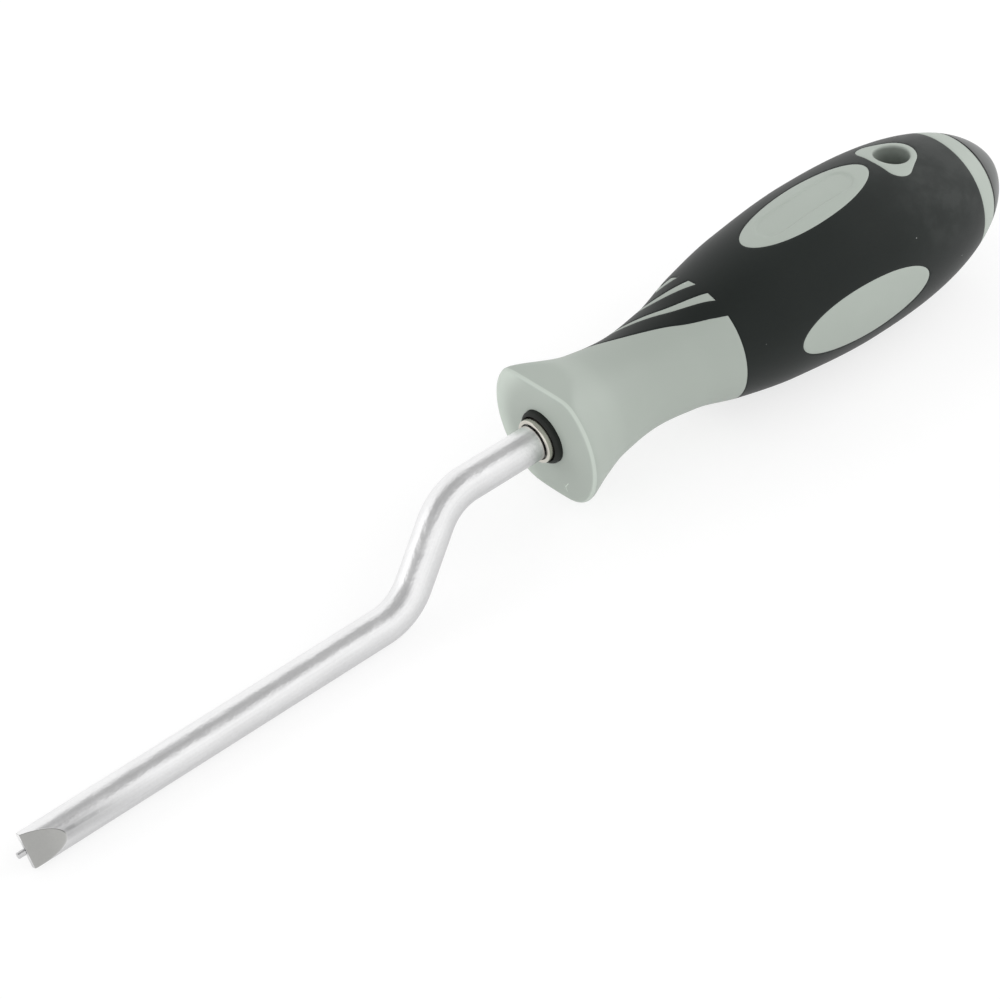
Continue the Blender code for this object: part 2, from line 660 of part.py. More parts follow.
def make_materials():
    """Colours and finishes as they look in the photograph."""
    return {
        "shank": principled("satin_plated_steel", (0.63, 0.63, 0.62), 0.38, 1.0),
        "steel": principled("bright_steel", (0.55, 0.55, 0.55), 0.30, 1.0),
        "bronze": principled("pale_bronze", (0.62, 0.55, 0.42), 0.35, 1.0),
        "core": principled("grey_green_plastic", (0.40, 0.44, 0.40), 0.45, 0.0),
        "cover": principled("black_soft_cover", (0.026, 0.031, 0.029), 0.65, 0.0),
        "rubber": principled("black_rubber", (0.020, 0.022, 0.022), 0.60, 0.0),
    }


def main():
    """Build every piece into one collection."""
    clear_scene()
    pieces = new_collection("spoke_nipple_screwdriver")
    cutters = new_collection("cutters")
    materials = make_materials()
    build_shank(pieces, cutters, materials["shank"])
    build_pin(pieces, materials["shank"])
    build_retaining_ring(pieces, cutters, materials["steel"])
    build_bearing(pieces, materials)
    build_core(pieces, cutters, materials["core"])
    build_cover(pieces, cutters, materials["cover"])
    build_pad(pieces, cutters, materials["cover"])


main()
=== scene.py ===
"""Looks of a spoke nipple screwdriver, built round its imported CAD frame.

Shapes are worked out in millimetres from the centre of the handle's front face, with the handle's
axis along X and the butt towards +X, and are then put in their place in the frame.
"""

import math

import bmesh
import bpy
import numpy as np
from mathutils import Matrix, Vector
from mathutils.geometry import delaunay_2d_cdt


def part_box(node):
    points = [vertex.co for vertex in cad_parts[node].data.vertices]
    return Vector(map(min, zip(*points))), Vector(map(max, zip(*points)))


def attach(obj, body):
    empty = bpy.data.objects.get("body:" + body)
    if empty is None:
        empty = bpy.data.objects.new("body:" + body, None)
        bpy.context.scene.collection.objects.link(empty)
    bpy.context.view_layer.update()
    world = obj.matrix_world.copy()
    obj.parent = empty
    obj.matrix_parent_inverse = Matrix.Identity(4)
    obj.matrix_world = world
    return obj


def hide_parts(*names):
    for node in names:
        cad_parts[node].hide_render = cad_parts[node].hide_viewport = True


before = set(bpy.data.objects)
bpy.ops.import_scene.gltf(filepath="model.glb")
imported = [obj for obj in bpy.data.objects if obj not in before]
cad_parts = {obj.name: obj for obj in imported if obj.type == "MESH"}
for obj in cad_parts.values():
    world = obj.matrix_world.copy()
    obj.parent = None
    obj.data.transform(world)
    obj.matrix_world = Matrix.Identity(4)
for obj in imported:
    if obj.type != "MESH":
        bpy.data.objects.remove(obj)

bl_info = {
    "name": "Spoke nipple screwdriver",
    "version": (1, 0, 0),
    "blender": (4, 5, 0),
    "location": "View3D > Sidebar > Screwdriver",
    "description": "Builds the pieces of a cranked, free-spinning screwdriver round its CAD frame",
    "category": "Add Mesh",
}

MM = 0.001
FULL_TURN = 2 * math.pi
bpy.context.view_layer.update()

# Sizes of the shank, as in the CAD source, except that its shoulder stands nearer to the bush
SHANK_RADIUS = 3.5
CRANK_OFFSET = 14.9
CRANK_BEND = math.radians(41.5)
BEND_RADIUS = 14.0
NECK_REACH = 23.4
BLADE_REACH = 81.8
BLADE_LENGTH = 6.9
BLADE_END_HALF = 0.7
PIN_RADIUS = 0.6
PIN_ROOT_RADIUS = 0.43
PIN_ROOT_LENGTH = 4.8
PIN_REACH = 1.6
JOURNAL_RADIUS = 2.5
JOURNAL_LENGTH = 47.9
JOURNAL_CHAMFER = 0.5
GROOVE_FRONT = 45.5
GROOVE_REAR = 46.7
GROOVE_RADIUS = 2.05
SHOULDER_STATION = -2.62

# Sizes of the handle's form
HANDLE_LENGTH = 115.5
FLANGE_RADIUS = 14.6
RIM_WIDTH = 1.2
THUMB_FLAT_HEIGHT = 11.4
UNDER_FLAT_HEIGHT = 13.2
FLAT_TURN = math.radians(-5.0)
FLAT_RISE = 0.13
FLAT_CRISPNESS = 18.0
FLAT_SHARPENING = 7.0
FLAT_SHARPENED = 6.0
LEAST_FACING = 0.05
WAIST_RADIUS = 9.7
WAIST_STATION = 21.0
BELLY_RADIUS = 17.3
BELLY_FLATNESS = 0.02
BELLY_SIDES = 4
REAR_LENGTH = 43.4
REAR_ROUNDING = 2.5
BELLY_STATION = HANDLE_LENGTH - REAR_LENGTH
NECK_CURVE = ((0.23, 0.603), (0.54, 0.206))
SHOULDER_CURVE = ((0.192, 0.137), (0.373, 0.474), (0.624, 0.800))

# Sizes of the cover, its windows, the hang hole and the pad
COVER_THICKNESS = 2.0
POCKET_DEPTH = 2.1
COVER_FRONT = 39.3
COVER_POINT = 15.2
COVER_HALF_WIDTH = 13.15
COVER_REAR = 102.25
PAD_FRONT = 107.1
BORDER_BOW = 0.75
BORDER_STRAIGHT = 1.9
BORDER_CORNER_TURN = math.radians(84.0)
ARM_BOW = 0.8
CHEVRONS = ((0.30, 0.910, 0.826), (0.62, 0.656, 0.535), (0.86, 0.295, 0.150))
CHEVRON_POINT_LENGTH = 1.4
OVAL_STATION = 67.40
OVAL_HALF_LENGTH = 15.95
OVAL_HALF_WIDTH = 6.25
HOLE_STATION = 90.4
HOLE_RADIUS = 3.5
SURROUND_REAR_RADIUS = 4.95
SURROUND_CORNER_RADIUS = 2.7
SURROUND_CORNER_SPREAD = 4.0
SURROUND_CORNER_STATION = 88.3

# Sizes of the bearing's front end and its bore
BUSH_INNER = 2.6
BUSH_RADIUS = 4.05
BUSH_REAR = 12.4
BUSH_SHOULDER = 2.4
NOSE_RADIUS = 4.45
NOSE_REACH = 2.45
NOSE_RECESS = 0.6
NOSE_RECESS_RADIUS = 3.66
SEAL_INNER = 4.65
SEAL_LIP_RADIUS = 5.0
SEAL_FACE_RADIUS = 5.45
SEAL_REACH = 1.3
SEAL_COLLAR = 0.75
SEAL_REAR = 2.4
SEAL_SEAT_RADIUS = 5.48
SEAL_SEAT_REAR = 2.5
BORE_RADIUS = 5.4
BORE_REAR = 49.4

# Where everything lies
AXIS_HEIGHT = BELLY_RADIUS * (1 - BELLY_FLATNESS)
FACE_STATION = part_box("handle_core")[0].x / MM
FIRST_CORNER = -NECK_REACH
SECOND_CORNER = FIRST_CORNER - CRANK_OFFSET / math.tan(CRANK_BEND)
BLADE_END = SECOND_CORNER - BLADE_REACH
TIP_END = BLADE_END - PIN_REACH
FLOOR_GAP = 0.1
REST_TURN = math.acos((AXIS_HEIGHT - SHANK_RADIUS - FLOOR_GAP) / CRANK_OFFSET)

# Angles round the handle: the mesh's seam, the cover's point, and the four sides that carry ovals
SEAM = math.radians(135.0)
COVER_CORNER = math.radians(315.0)
OVAL_TURNS = tuple(math.radians(turn) for turn in (178.0, 272.0, 358.0, 452.0))
HOLE_TURN = math.radians(-2.0)
TOP = HOLE_TURN + FULL_TURN
UNDERSIDE = HOLE_TURN + math.pi
MOUTHS = ((TOP, -1), (UNDERSIDE, 1))

# Mesh fineness, and the angles past which an edge is drawn sharp
HANDLE_STEPS = 180
ROW_SPACING = 0.7
OUTLINE_SPACING = 0.32
OUTLINE_CLEARANCE = 0.36
DENSE_STEPS = 400
MOUTH_STEPS = 72
ROUND_STEPS = 8
TURNED_STEPS = 96
BEND_STEPS = 28
BLADE_ARC_STEPS = 5
BLADE_FLAT_STEPS = 34
FACE_RINGS = 8
PAD_RINGS = 36
PANEL_LOOPS = 4
OPEN_OUTLINES = 2
SHOULDER_CLEARANCE = 0.8
MOST_OF_A_SIDE = 0.5
SETTLE_ROUNDS = 12
UNROLLED_RADIUS = 15.0
WELD = 0.002
MERGE_LIMIT = 1e-6
METAL_CREASE = math.radians(14.0)
MOULDED_CREASE = math.radians(32.0)


def smooth_curve(pairs, places):
    """Cubic curve through the pairs that rises and falls only where they do: at each pair the
    slope is the weighted harmonic mean of the two neighbouring rises, or level at a turning point."""
    stations = np.array([pair[0] for pair in pairs])
    values = np.array([pair[1] for pair in pairs])
    widths = np.diff(stations)
    rises = np.diff(values) / widths
    slopes = np.zeros(len(stations))
    slopes[0] = rises[0]
    same_way = rises[:-1] * rises[1:] > 0.0
    before = 2 * widths[1:] + widths[:-1]
    after = widths[1:] + 2 * widths[:-1]
    earlier = np.where(same_way, rises[:-1], 1.0)
    later = np.where(same_way, rises[1:], 1.0)
    slopes[1:-1] = np.where(same_way, (before + after) / (before / earlier + after / later), 0.0)
    index = np.clip(np.searchsorted(stations, places) - 1, 0, len(widths) - 1)
    share = (places - stations[index]) / widths[index]
    start = values[index] * (1 + 2 * share) * (1 - share) ** 2
    leave = slopes[index] * widths[index] * share * (1 - share) ** 2
    end = values[index + 1] * share ** 2 * (3 - 2 * share)
    arrive = slopes[index + 1] * widths[index] * share ** 2 * (share - 1)
    return start + leave + end + arrive


def front_profile():
    """Stations and half-widths from the flange over the waist to the belly."""
    pairs = [(RIM_WIDTH, FLANGE_RADIUS)]
    for along, share in NECK_CURVE:
        pairs.append((RIM_WIDTH + along * (WAIST_STATION - RIM_WIDTH),
                      WAIST_RADIUS + share * (FLANGE_RADIUS - WAIST_RADIUS)))
    pairs.append((WAIST_STATION, WAIST_RADIUS))
    for along, share in SHOULDER_CURVE:
        pairs.append((WAIST_STATION + along * (BELLY_STATION - WAIST_STATION),
                      WAIST_RADIUS + share * (BELLY_RADIUS - WAIST_RADIUS)))
    pairs.append((BELLY_STATION, BELLY_RADIUS))
    return pairs


def half_width(stations):
    """The front curve up to the belly, then that times the root of one less a power of the way
    to the butt."""
    front = smooth_curve(front_profile(), np.clip(stations, RIM_WIDTH, BELLY_STATION))
    reach = np.clip((stations - BELLY_STATION) / REAR_LENGTH, 0.0, 1.0)
    return front * np.sqrt(1 - reach ** REAR_ROUNDING)


def cut_by_flat(radii, stations, angles, height, turn):
    """Radii brought down to a flat that faces the turn given: a soft minimum of the two by a high
    power, which grows behind the rim."""
    facing = np.maximum(np.cos(angles - turn), LEAST_FACING)
    flat = (height + FLAT_RISE * stations) / facing
    power = FLAT_CRISPNESS + FLAT_SHARPENING * np.clip(stations, 0.0, FLAT_SHARPENED)
    smaller = np.minimum(radii, flat)
    return smaller * ((smaller / radii) ** power + (smaller / flat) ** power) ** (-1 / power)


def side_dip(angles):
    """How far the belly's four sides lie inside its corners: a cosine with four waves a turn."""
    return 1 - BELLY_FLATNESS * (1 + np.cos(BELLY_SIDES * angles)) / 2


def handle_radius(stations, angles):
    """Distance from the axis to the handle's surface, with the belly's four sides and the flange's
    two flats."""
    radii = half_width(stations) * side_dip(angles)
    radii = cut_by_flat(radii, stations, angles, THUMB_FLAT_HEIGHT, FLAT_TURN)
    return cut_by_flat(radii, stations, angles, UNDER_FLAT_HEIGHT, FLAT_TURN + math.pi)


def round_axis(stations, radii, angles):
    """Points at a distance from the handle's axis: up at angle 0 and towards -Y a quarter turn on."""
    stations, radii, angles = np.broadcast_arrays(stations, radii, angles)
    return np.stack((stations, -radii * np.sin(angles), radii * np.cos(angles)), axis=-1)


def on_handle(stations, angles, depth):
    """Points of the handle's surface, sunk by a depth towards the axis."""
    return round_axis(stations, handle_radius(stations, angles) - depth, angles)


def side_by_side(*columns):
    """Rows made of the columns given, where a single number fills its column."""
    return np.stack(np.broadcast_arrays(*columns), axis=1)


def grid_quads(rows, columns):
    """Quads between neighbouring rows of a grid whose columns close into a ring."""
    index = np.arange(rows * columns).reshape(rows, columns)
    following = np.roll(index, -1, axis=1)
    return np.stack((index[:-1], following[:-1], following[1:], index[1:]), axis=-1).reshape(-1, 4)


def ring_patch(points):
    """A patch from points given as rows of closed rings."""
    rows, columns = points.shape[:2]
    return points.reshape(-1, 3), grid_quads(rows, columns)


def softened(corners, radius):
    """A profile whose inner corners are replaced by parabolas that start a radius before each
    corner, or half a side before it if that is nearer."""
    corners = np.array(corners, dtype=float)
    share = np.linspace(0.0, 1.0, ROUND_STEPS + 1)[:, None]
    runs = [corners[:1]]
    for before, corner, after in zip(corners, corners[1:], corners[2:]):
        into = before - corner
        out = after - corner
        start = corner + into * min(MOST_OF_A_SIDE, radius / np.linalg.norm(into))
        end = corner + out * min(MOST_OF_A_SIDE, radius / np.linalg.norm(out))
        runs.append((1 - share) ** 2 * start + 2 * share * (1 - share) * corner + share ** 2 * end)
    runs.append(corners[-1:])
    return np.concatenate(runs)


def turned_patch(corners, radius):
    """A profile of stations and radii, softened at its corners and carried round the axis."""
    profile = softened(corners, radius)
    angles = np.linspace(0.0, FULL_TURN, TURNED_STEPS, endpoint=False)
    return ring_patch(round_axis(profile[:, :1], profile[:, 1:], angles[None, :]))


def rolled(points, turn):
    """Points turned about the handle's axis, from up towards -Y."""
    across = points[..., 1] * math.cos(turn) - points[..., 2] * math.sin(turn)
    up = points[..., 2] * math.cos(turn) + points[..., 1] * math.sin(turn)
    return np.stack((points[..., 0], across, up), axis=-1)


def turned_with_shank(points):
    """Points drawn with the crank in the X-Z plane, rolled to where the tool comes to rest."""
    return rolled(points, -REST_TURN)


def gathered(patches):
    """All patches as one array of points and one list of faces."""
    points = np.concatenate([patch[0] for patch in patches])
    starts = np.cumsum([0] + [len(patch[0]) for patch in patches])
    faces = []
    for start, (_, indices) in zip(starts, patches):
        faces.extend((indices + start).tolist())
    return points, faces


def weld(mesh):
    """Join the points that patches share, so that seams and poles close, and turn the faces
    outwards."""
    form = bmesh.new()
    form.from_mesh(mesh)
    bmesh.ops.remove_doubles(form, verts=form.verts[:], dist=WELD * MM)
    bmesh.ops.dissolve_degenerate(form, edges=form.edges[:], dist=MERGE_LIMIT)
    loose = [vert for vert in form.verts if not vert.link_faces]
    bmesh.ops.delete(form, geom=loose, context="VERTS")
    bmesh.ops.recalc_face_normals(form, faces=form.faces[:])
    form.to_mesh(mesh)
    form.free()


def mesh_from(name, patches, marks):
    """A mesh in the frame's place from patches in millimetres, with a vector per point if marks
    are given."""
    points, faces = gathered(patches)
    placed = (points + np.array((FACE_STATION, 0.0, AXIS_HEIGHT))) * MM
    mesh = bpy.data.meshes.new(name)
    mesh.from_pydata(placed.tolist(), [], faces)
    if marks is not None:
        layer = mesh.attributes.new(ROD_PLACE, "FLOAT_VECTOR", "POINT")
        layer.data.foreach_set("vector", np.concatenate(marks).ravel())
    weld(mesh)
    return mesh


def new_piece(name, patches, material, body, node, crease, marks=None):
    """An object from patches, smooth up to the crease angle, riding on a body in place of a CAD node."""
    mesh = mesh_from(name, patches, marks)
    mesh.materials.append(material)
    mesh.polygons.foreach_set("use_smooth", np.ones(len(mesh.polygons), dtype=bool))
    mesh.set_sharp_from_angle(angle=crease)
    piece = bpy.data.objects.new(name, mesh)
    bpy.context.scene.collection.objects.link(piece)
    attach(piece, body)
    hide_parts(node)


def handle_piece(name, patches, material, node):
    """A piece that stays still with the handle."""
    new_piece(name, patches, material, "handle", node, MOULDED_CREASE)


def paint_node(node, material):
    """Give a CAD node that stays in view a procedural material."""
    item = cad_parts[node]
    if not item.data.materials:
        item.data.materials.append(material)
    for place in range(len(item.material_slots)):
        item.material_slots[place].material = material


# Outlines on the handle, each as rows of a station and an angle

def true_angles(stations, across, turn):
    """Where a plan seen from the turn given meets the surface: the angle whose sine times the radius
    is the distance across, found by repeated substitution."""
    angles = np.full(np.shape(stations), turn)
    for _ in range(SETTLE_ROUNDS):
        angles = turn + np.arcsin(np.clip(across / handle_radius(stations, angles), -1.0, 1.0))
    return angles


def plan_outline(stations, across, turn):
    """A plan outline laid on the handle."""
    return side_by_side(stations, true_angles(stations, across, turn))


def evenly(points, spacing):
    """The same line with points an even distance apart along the surface, ends kept."""
    radii = handle_radius(points[:, 0], points[:, 1])
    arcs = np.diff(points[:, 1]) * (radii[1:] + radii[:-1]) / 2
    lengths = np.concatenate(([0.0], np.cumsum(np.hypot(np.diff(points[:, 0]), arcs))))
    count = max(2, math.ceil(lengths[-1] / spacing) + 1)
    places = np.linspace(0.0, lengths[-1], count)
    return side_by_side(*(np.interp(places, lengths, column) for column in points.T))


def closed_loop(runs):
    """Runs that follow one another round a loop, evenly sampled, each without its last point."""
    return np.concatenate([evenly(run, OUTLINE_SPACING)[:-1] for run in runs])


def arm(point, half_spread, bow=ARM_BOW):
    """One arm of a V from its point back to the cover's front edge: the distance across grows with
    a power below one of the way along."""
    share = np.linspace(0.0, 1.0, DENSE_STEPS) ** 2
    stations = point + share * (COVER_FRONT - point)
    return plan_outline(stations, half_spread * share ** bow, COVER_CORNER)


def other_side(run):
    """The same run mirrored in the cover's corner."""
    return side_by_side(run[:, 0], 2 * COVER_CORNER - run[:, 1])


def border_outline():
    """The cover's front edge from seam to seam: its point drawn forward along the corner, and each
    arm straight over its last stretch."""
    bowed = arm(COVER_POINT, COVER_HALF_WIDTH, BORDER_BOW)
    bowed = bowed[bowed[:, 0] < COVER_FRONT - BORDER_STRAIGHT]
    right = np.concatenate((bowed, ((COVER_FRONT, COVER_CORNER + BORDER_CORNER_TURN),)))
    left = other_side(right)[::-1]
    before = np.array(((COVER_FRONT, SEAM), left[0]))
    after = np.array((right[-1], (COVER_FRONT, SEAM + FULL_TURN)))
    runs = [along_ring(before), left, right, along_ring(after)]
    pieces = [evenly(run, OUTLINE_SPACING) for run in runs]
    return np.concatenate([pieces[0], *(piece[1:] for piece in pieces[1:])])


def along_ring(ends):
    """Dense points between two ends of a line round the handle."""
    share = np.linspace(0.0, 1.0, DENSE_STEPS)[:, None]
    return ends[0] + share * (ends[1] - ends[0])


def rear_outline():
    """The cover's rear edge from seam to seam."""
    ends = np.array(((COVER_REAR, SEAM), (COVER_REAR, SEAM + FULL_TURN)))
    return evenly(along_ring(ends), OUTLINE_SPACING)


def chevron_outline(place, outer, inner):
    """A V pointing to the blade, between a front arm and a rear arm on each side."""
    first = COVER_POINT + place * (COVER_FRONT - COVER_POINT)
    front = arm(first, outer * COVER_HALF_WIDTH)
    rear = arm(first + CHEVRON_POINT_LENGTH, inner * COVER_HALF_WIDTH)
    end = np.array((front[-1], rear[-1]))
    return closed_loop((front, end, rear[::-1], other_side(rear), other_side(end)[::-1],
                        other_side(front)[::-1]))


def oval_outline(turn):
    """An ellipse seen from the turn given."""
    angles = np.linspace(0.0, FULL_TURN, DENSE_STEPS)
    stations = OVAL_STATION + OVAL_HALF_LENGTH * np.cos(angles)
    return closed_loop((plan_outline(stations, OVAL_HALF_WIDTH * np.sin(angles), turn),))


def surround_outline(turn):
    """The hull of three circles: for each direction, the point that lies furthest that way."""
    centres = np.array(((HOLE_STATION, 0.0), (SURROUND_CORNER_STATION, SURROUND_CORNER_SPREAD),
                        (SURROUND_CORNER_STATION, -SURROUND_CORNER_SPREAD)))
    radii = np.array((SURROUND_REAR_RADIUS, SURROUND_CORNER_RADIUS, SURROUND_CORNER_RADIUS))
    angles = np.linspace(0.0, FULL_TURN, DENSE_STEPS)
    facing = side_by_side(np.cos(angles), np.sin(angles))
    furthest = np.argmax(facing @ centres.T + radii, axis=1)
    points = centres[furthest] + radii[furthest, None] * facing
    return closed_loop((plan_outline(points[:, 0], points[:, 1], turn),))


def mouth_outline(turn, side, radius):
    """A circle round the hang hole, seen from its side of the handle; both mouths start at the same
    point."""
    angles = np.linspace(0.0, FULL_TURN, MOUTH_STEPS, endpoint=False)
    return plan_outline(HOLE_STATION + radius * np.cos(angles), side * radius * np.sin(angles), turn)


def panel_distance(points, length, width):
    """Distance outside a round-ended panel on the top oval, negative within it."""
    across = -handle_radius(points[:, 0], points[:, 1]) * np.sin(points[:, 1] - TOP)
    facing = np.cos(points[:, 1] - TOP) > 0.0
    straight = length / 2 - width / 2
    past = np.maximum(abs(points[:, 0] - OVAL_STATION) - straight, 0.0)
    return np.where(facing, np.hypot(past, across) - width / 2, BELLY_RADIUS)


def panel_outline(length, width, outside):
    """A loop at a distance outside the panel's edge."""
    angles = np.linspace(0.0, FULL_TURN, DENSE_STEPS)
    radius = width / 2 + outside
    straight = length / 2 - width / 2
    stations = OVAL_STATION + straight * np.sign(np.cos(angles)) + radius * np.cos(angles)
    return closed_loop((plan_outline(stations, radius * np.sin(angles), TOP),))


# The handle's outer sheet, split into the core's lands and the cover

def nearest(points, outlines):
    """Distance from each point to the nearest outline point, along the surface."""
    found = np.full(len(points), BELLY_RADIUS)
    for outline in outlines:
        radii = handle_radius(outline[:, 0], outline[:, 1])
        along = points[:, :1] - outline[:, 0]
        across = (points[:, 1:] - outline[:, 1]) * radii
        found = np.minimum(found, np.hypot(along, across).min(axis=1))
    return found


def beside(outline, distance):
    """The outline moved sideways along the surface."""
    radii = handle_radius(outline[:, 0], outline[:, 1])
    along = np.gradient(outline[:, 0])
    across = np.gradient(outline[:, 1]) * radii
    length = np.hypot(along, across)
    return side_by_side(outline[:, 0] - distance * across / length,
                        outline[:, 1] + distance * along / length / radii)


def inside(points, loop):
    """True where a point lies in a closed loop: a ray from it crosses the loop an odd number of
    times."""
    following = np.roll(loop, -1, axis=0)
    spans = (loop[:, 1] > points[:, 1:]) != (following[:, 1] > points[:, 1:])
    rise = following[:, 1] - loop[:, 1]
    share = (points[:, 1:] - loop[:, 1]) / np.where(rise == 0.0, 1.0, rise)
    crossing = loop[:, 0] + share * (following[:, 0] - loop[:, 0])
    return (spans & (points[:, :1] < crossing)).sum(axis=1) % 2 == 1


def loop_edges(count, start, closed):
    """Pairs of neighbouring points of an outline."""
    first = np.arange(count if closed else count - 1)
    return side_by_side(first, (first + 1) % count) + start


class HandleSheet:
    """The handle's surface unrolled: triangles in stations and angles that follow every outline."""

    def __init__(self, settings):
        """Sizes in millimetres, then the outlines, then the triangles."""
        self.edge_width = settings.window_edge / MM
        self.edge_drop = settings.window_drop / MM
        self.mouth = HOLE_RADIUS + settings.mouth_rounding / MM
        self.front = settings.rim_rounding / MM
        self.rear = PAD_FRONT - settings.seam_gap / MM - settings.window_edge / MM
        self.panel = (settings.panel_length / MM, settings.panel_width / MM)
        self.panel_soft = settings.panel_edge / MM
        self.panel_depth = settings.panel_depth / MM
        self.border = border_outline()
        self.rear_edge = rear_outline()
        self.chevrons = [chevron_outline(*chevron) for chevron in CHEVRONS]
        self.ovals = [oval_outline(turn) for turn in OVAL_TURNS]
        self.surrounds = [surround_outline(turn) for turn in (TOP, UNDERSIDE)]
        self.mouths = [mouth_outline(turn, side, self.mouth) for turn, side in MOUTHS]
        self.triangulate()
        self.sort_triangles()

    def edge_outlines(self):
        """Every line where the cover meets the core."""
        return [self.border, self.rear_edge, *self.chevrons, *self.ovals, *self.surrounds]

    def grid_points(self):
        """An even grid over the sheet, its first and last columns on the seam."""
        rows = math.ceil((self.rear - self.front) / ROW_SPACING) + 1
        stations = np.linspace(self.front, self.rear, rows)
        angles = SEAM + np.linspace(0.0, FULL_TURN, HANDLE_STEPS + 1)
        return np.stack(np.meshgrid(stations, angles, indexing="ij"), axis=-1).reshape(-1, 2)

    def panel_points(self):
        """Loops that carry the panel's soft edge."""
        shares = np.linspace(-1.0, 0.0, PANEL_LOOPS)
        return [panel_outline(*self.panel, share * self.panel_soft) for share in shares]

    def triangulate(self):
        """Outlines as fixed lines, of which the first two run open from seam to seam, then rows of
        points beside them, then the grid where it is clear of both."""
        fixed = [*self.edge_outlines(), *self.mouths]
        edges = []
        start = 0
        for number, outline in enumerate(fixed):
            edges.append(loop_edges(len(outline), start, closed=number >= OPEN_OUTLINES))
            start += len(outline)
        edge_lines = self.edge_outlines()
        rows = [beside(line, side * self.edge_width) for line in edge_lines for side in (-1, 1)]
        shoulders = np.concatenate(rows)
        shoulders = shoulders[nearest(shoulders, fixed) > SHOULDER_CLEARANCE * self.edge_width]
        panel = self.panel_points()
        grid = self.grid_points()
        grid = grid[nearest(grid, [*fixed, *panel]) > OUTLINE_CLEARANCE]
        points = np.concatenate([*fixed, shoulders, *panel, grid])
        unrolled = np.array((1.0, UNROLLED_RADIUS))
        flat = (points * unrolled).tolist()
        made = delaunay_2d_cdt(flat, np.concatenate(edges).tolist(), [], 0, MERGE_LIMIT)
        self.points = np.array([tuple(point) for point in made[0]]) / unrolled
        self.triangles = np.array(made[2])

    def sort_triangles(self):
        """Lands belong to the core, open mouths to nothing, and the rest to the cover."""
        middles = self.points[self.triangles].mean(axis=1)
        ends = np.array(((-HANDLE_LENGTH, SEAM + FULL_TURN), (-HANDLE_LENGTH, SEAM)))
        land = inside(middles, np.concatenate((self.border, ends))) | (middles[:, 0] > COVER_REAR)
        for loop in (*self.chevrons, *self.ovals, *self.surrounds):
            land |= inside(middles, loop)
        open_mouth = np.zeros(len(middles), dtype=bool)
        for loop in self.mouths:
            open_mouth |= inside(middles, loop)
        self.land = self.triangles[land & ~open_mouth]
        self.cover = self.triangles[~land & ~open_mouth]

    def depth(self):
        """Edges roll down to the joint between cover and core, and the top oval's panel lies lower."""
        near = np.clip(1 - nearest(self.points, self.edge_outlines()) / self.edge_width, 0.0, 1.0)
        within = np.clip(-panel_distance(self.points, *self.panel) / self.panel_soft, 0.0, 1.0)
        return self.edge_drop * near ** 2 + self.panel_depth * within ** 2 * (3 - 2 * within)

    def joint_edges(self):
        """Edges shared by a triangle of the core and one of the cover."""
        count = len(self.points)
        return np.intersect1d(edge_keys(self.land, count), edge_keys(self.cover, count))

    def walls(self):
        """Quads between the surface and a second layer of points below it, along the joint."""
        count = len(self.points)
        keys = self.joint_edges()
        first = keys // count
        second = keys % count
        return side_by_side(first, second, second + count, first + count)

    def layers(self, lower_depth):
        """The surface's points followed by the same points at a lower depth."""
        stations, angles = self.points[:, 0], self.points[:, 1]
        return np.concatenate((on_handle(stations, angles, self.depth()),
                               on_handle(stations, angles, lower_depth)))


def edge_keys(triangles, count):
    """Each edge of the triangles as one number made of its two points."""
    pairs = np.concatenate((triangles[:, :2], triangles[:, 1:], triangles[:, ::2]))
    pairs = np.sort(pairs, axis=1)
    return pairs[:, 0] * count + pairs[:, 1]


def used_only(points, faces):
    """A patch with the points its faces use, for faces of one size."""
    used, index = np.unique(faces, return_inverse=True)
    return points[used], index.reshape(faces.shape)


def handle_ring_angles():
    """Angles of the rings that meet the sheet's two ends."""
    return SEAM + np.linspace(0.0, FULL_TURN, HANDLE_STEPS, endpoint=False)[None, :]


def quarter_turn(steps):
    """Angles of a quarter round, as a column."""
    return np.linspace(0.0, math.pi / 2, steps + 1)[:, None]


def rim_rings(rounding):
    """A quarter round from the flange's side to its face: sine along the axis, cosine towards it."""
    turns = quarter_turn(2 * ROUND_STEPS)
    angles = handle_ring_angles()
    radii = handle_radius(rounding, angles) - rounding * (1 - np.cos(turns))
    return round_axis(rounding * (1 - np.sin(turns)), radii, angles)


def face_rings(rounding, edge):
    """From the rim's inner edge straight in to the seal's seat, down it and along the bearing's bore."""
    angles = handle_ring_angles()
    outer = handle_radius(rounding, angles) - rounding
    share = np.linspace(0.0, 1.0, FACE_RINGS)[1:-1, None]
    face = round_axis(0.0, outer + share * (SEAL_SEAT_RADIUS + edge - outer), angles)
    corners = ((0.0, SEAL_SEAT_RADIUS + edge), (0.0, SEAL_SEAT_RADIUS),
               (SEAL_SEAT_REAR, SEAL_SEAT_RADIUS), (SEAL_SEAT_REAR, BORE_RADIUS),
               (BORE_REAR, BORE_RADIUS), (BORE_REAR, 0.0))
    inner = softened(corners, edge)
    return np.concatenate((face, round_axis(inner[:, :1], inner[:, 1:], angles)))


def band_rings(sheet, edge):
    """From the sheet's rear end over a small round to the middle of the core's rear face."""
    turns = quarter_turn(ROUND_STEPS)
    angles = handle_ring_angles()
    outer = handle_radius(sheet.rear, angles)
    rim = round_axis(sheet.rear + edge * np.sin(turns), outer - edge * (1 - np.cos(turns)), angles)
    middle = round_axis(sheet.rear + edge, 0.0, angles)
    return np.concatenate((rim, middle))


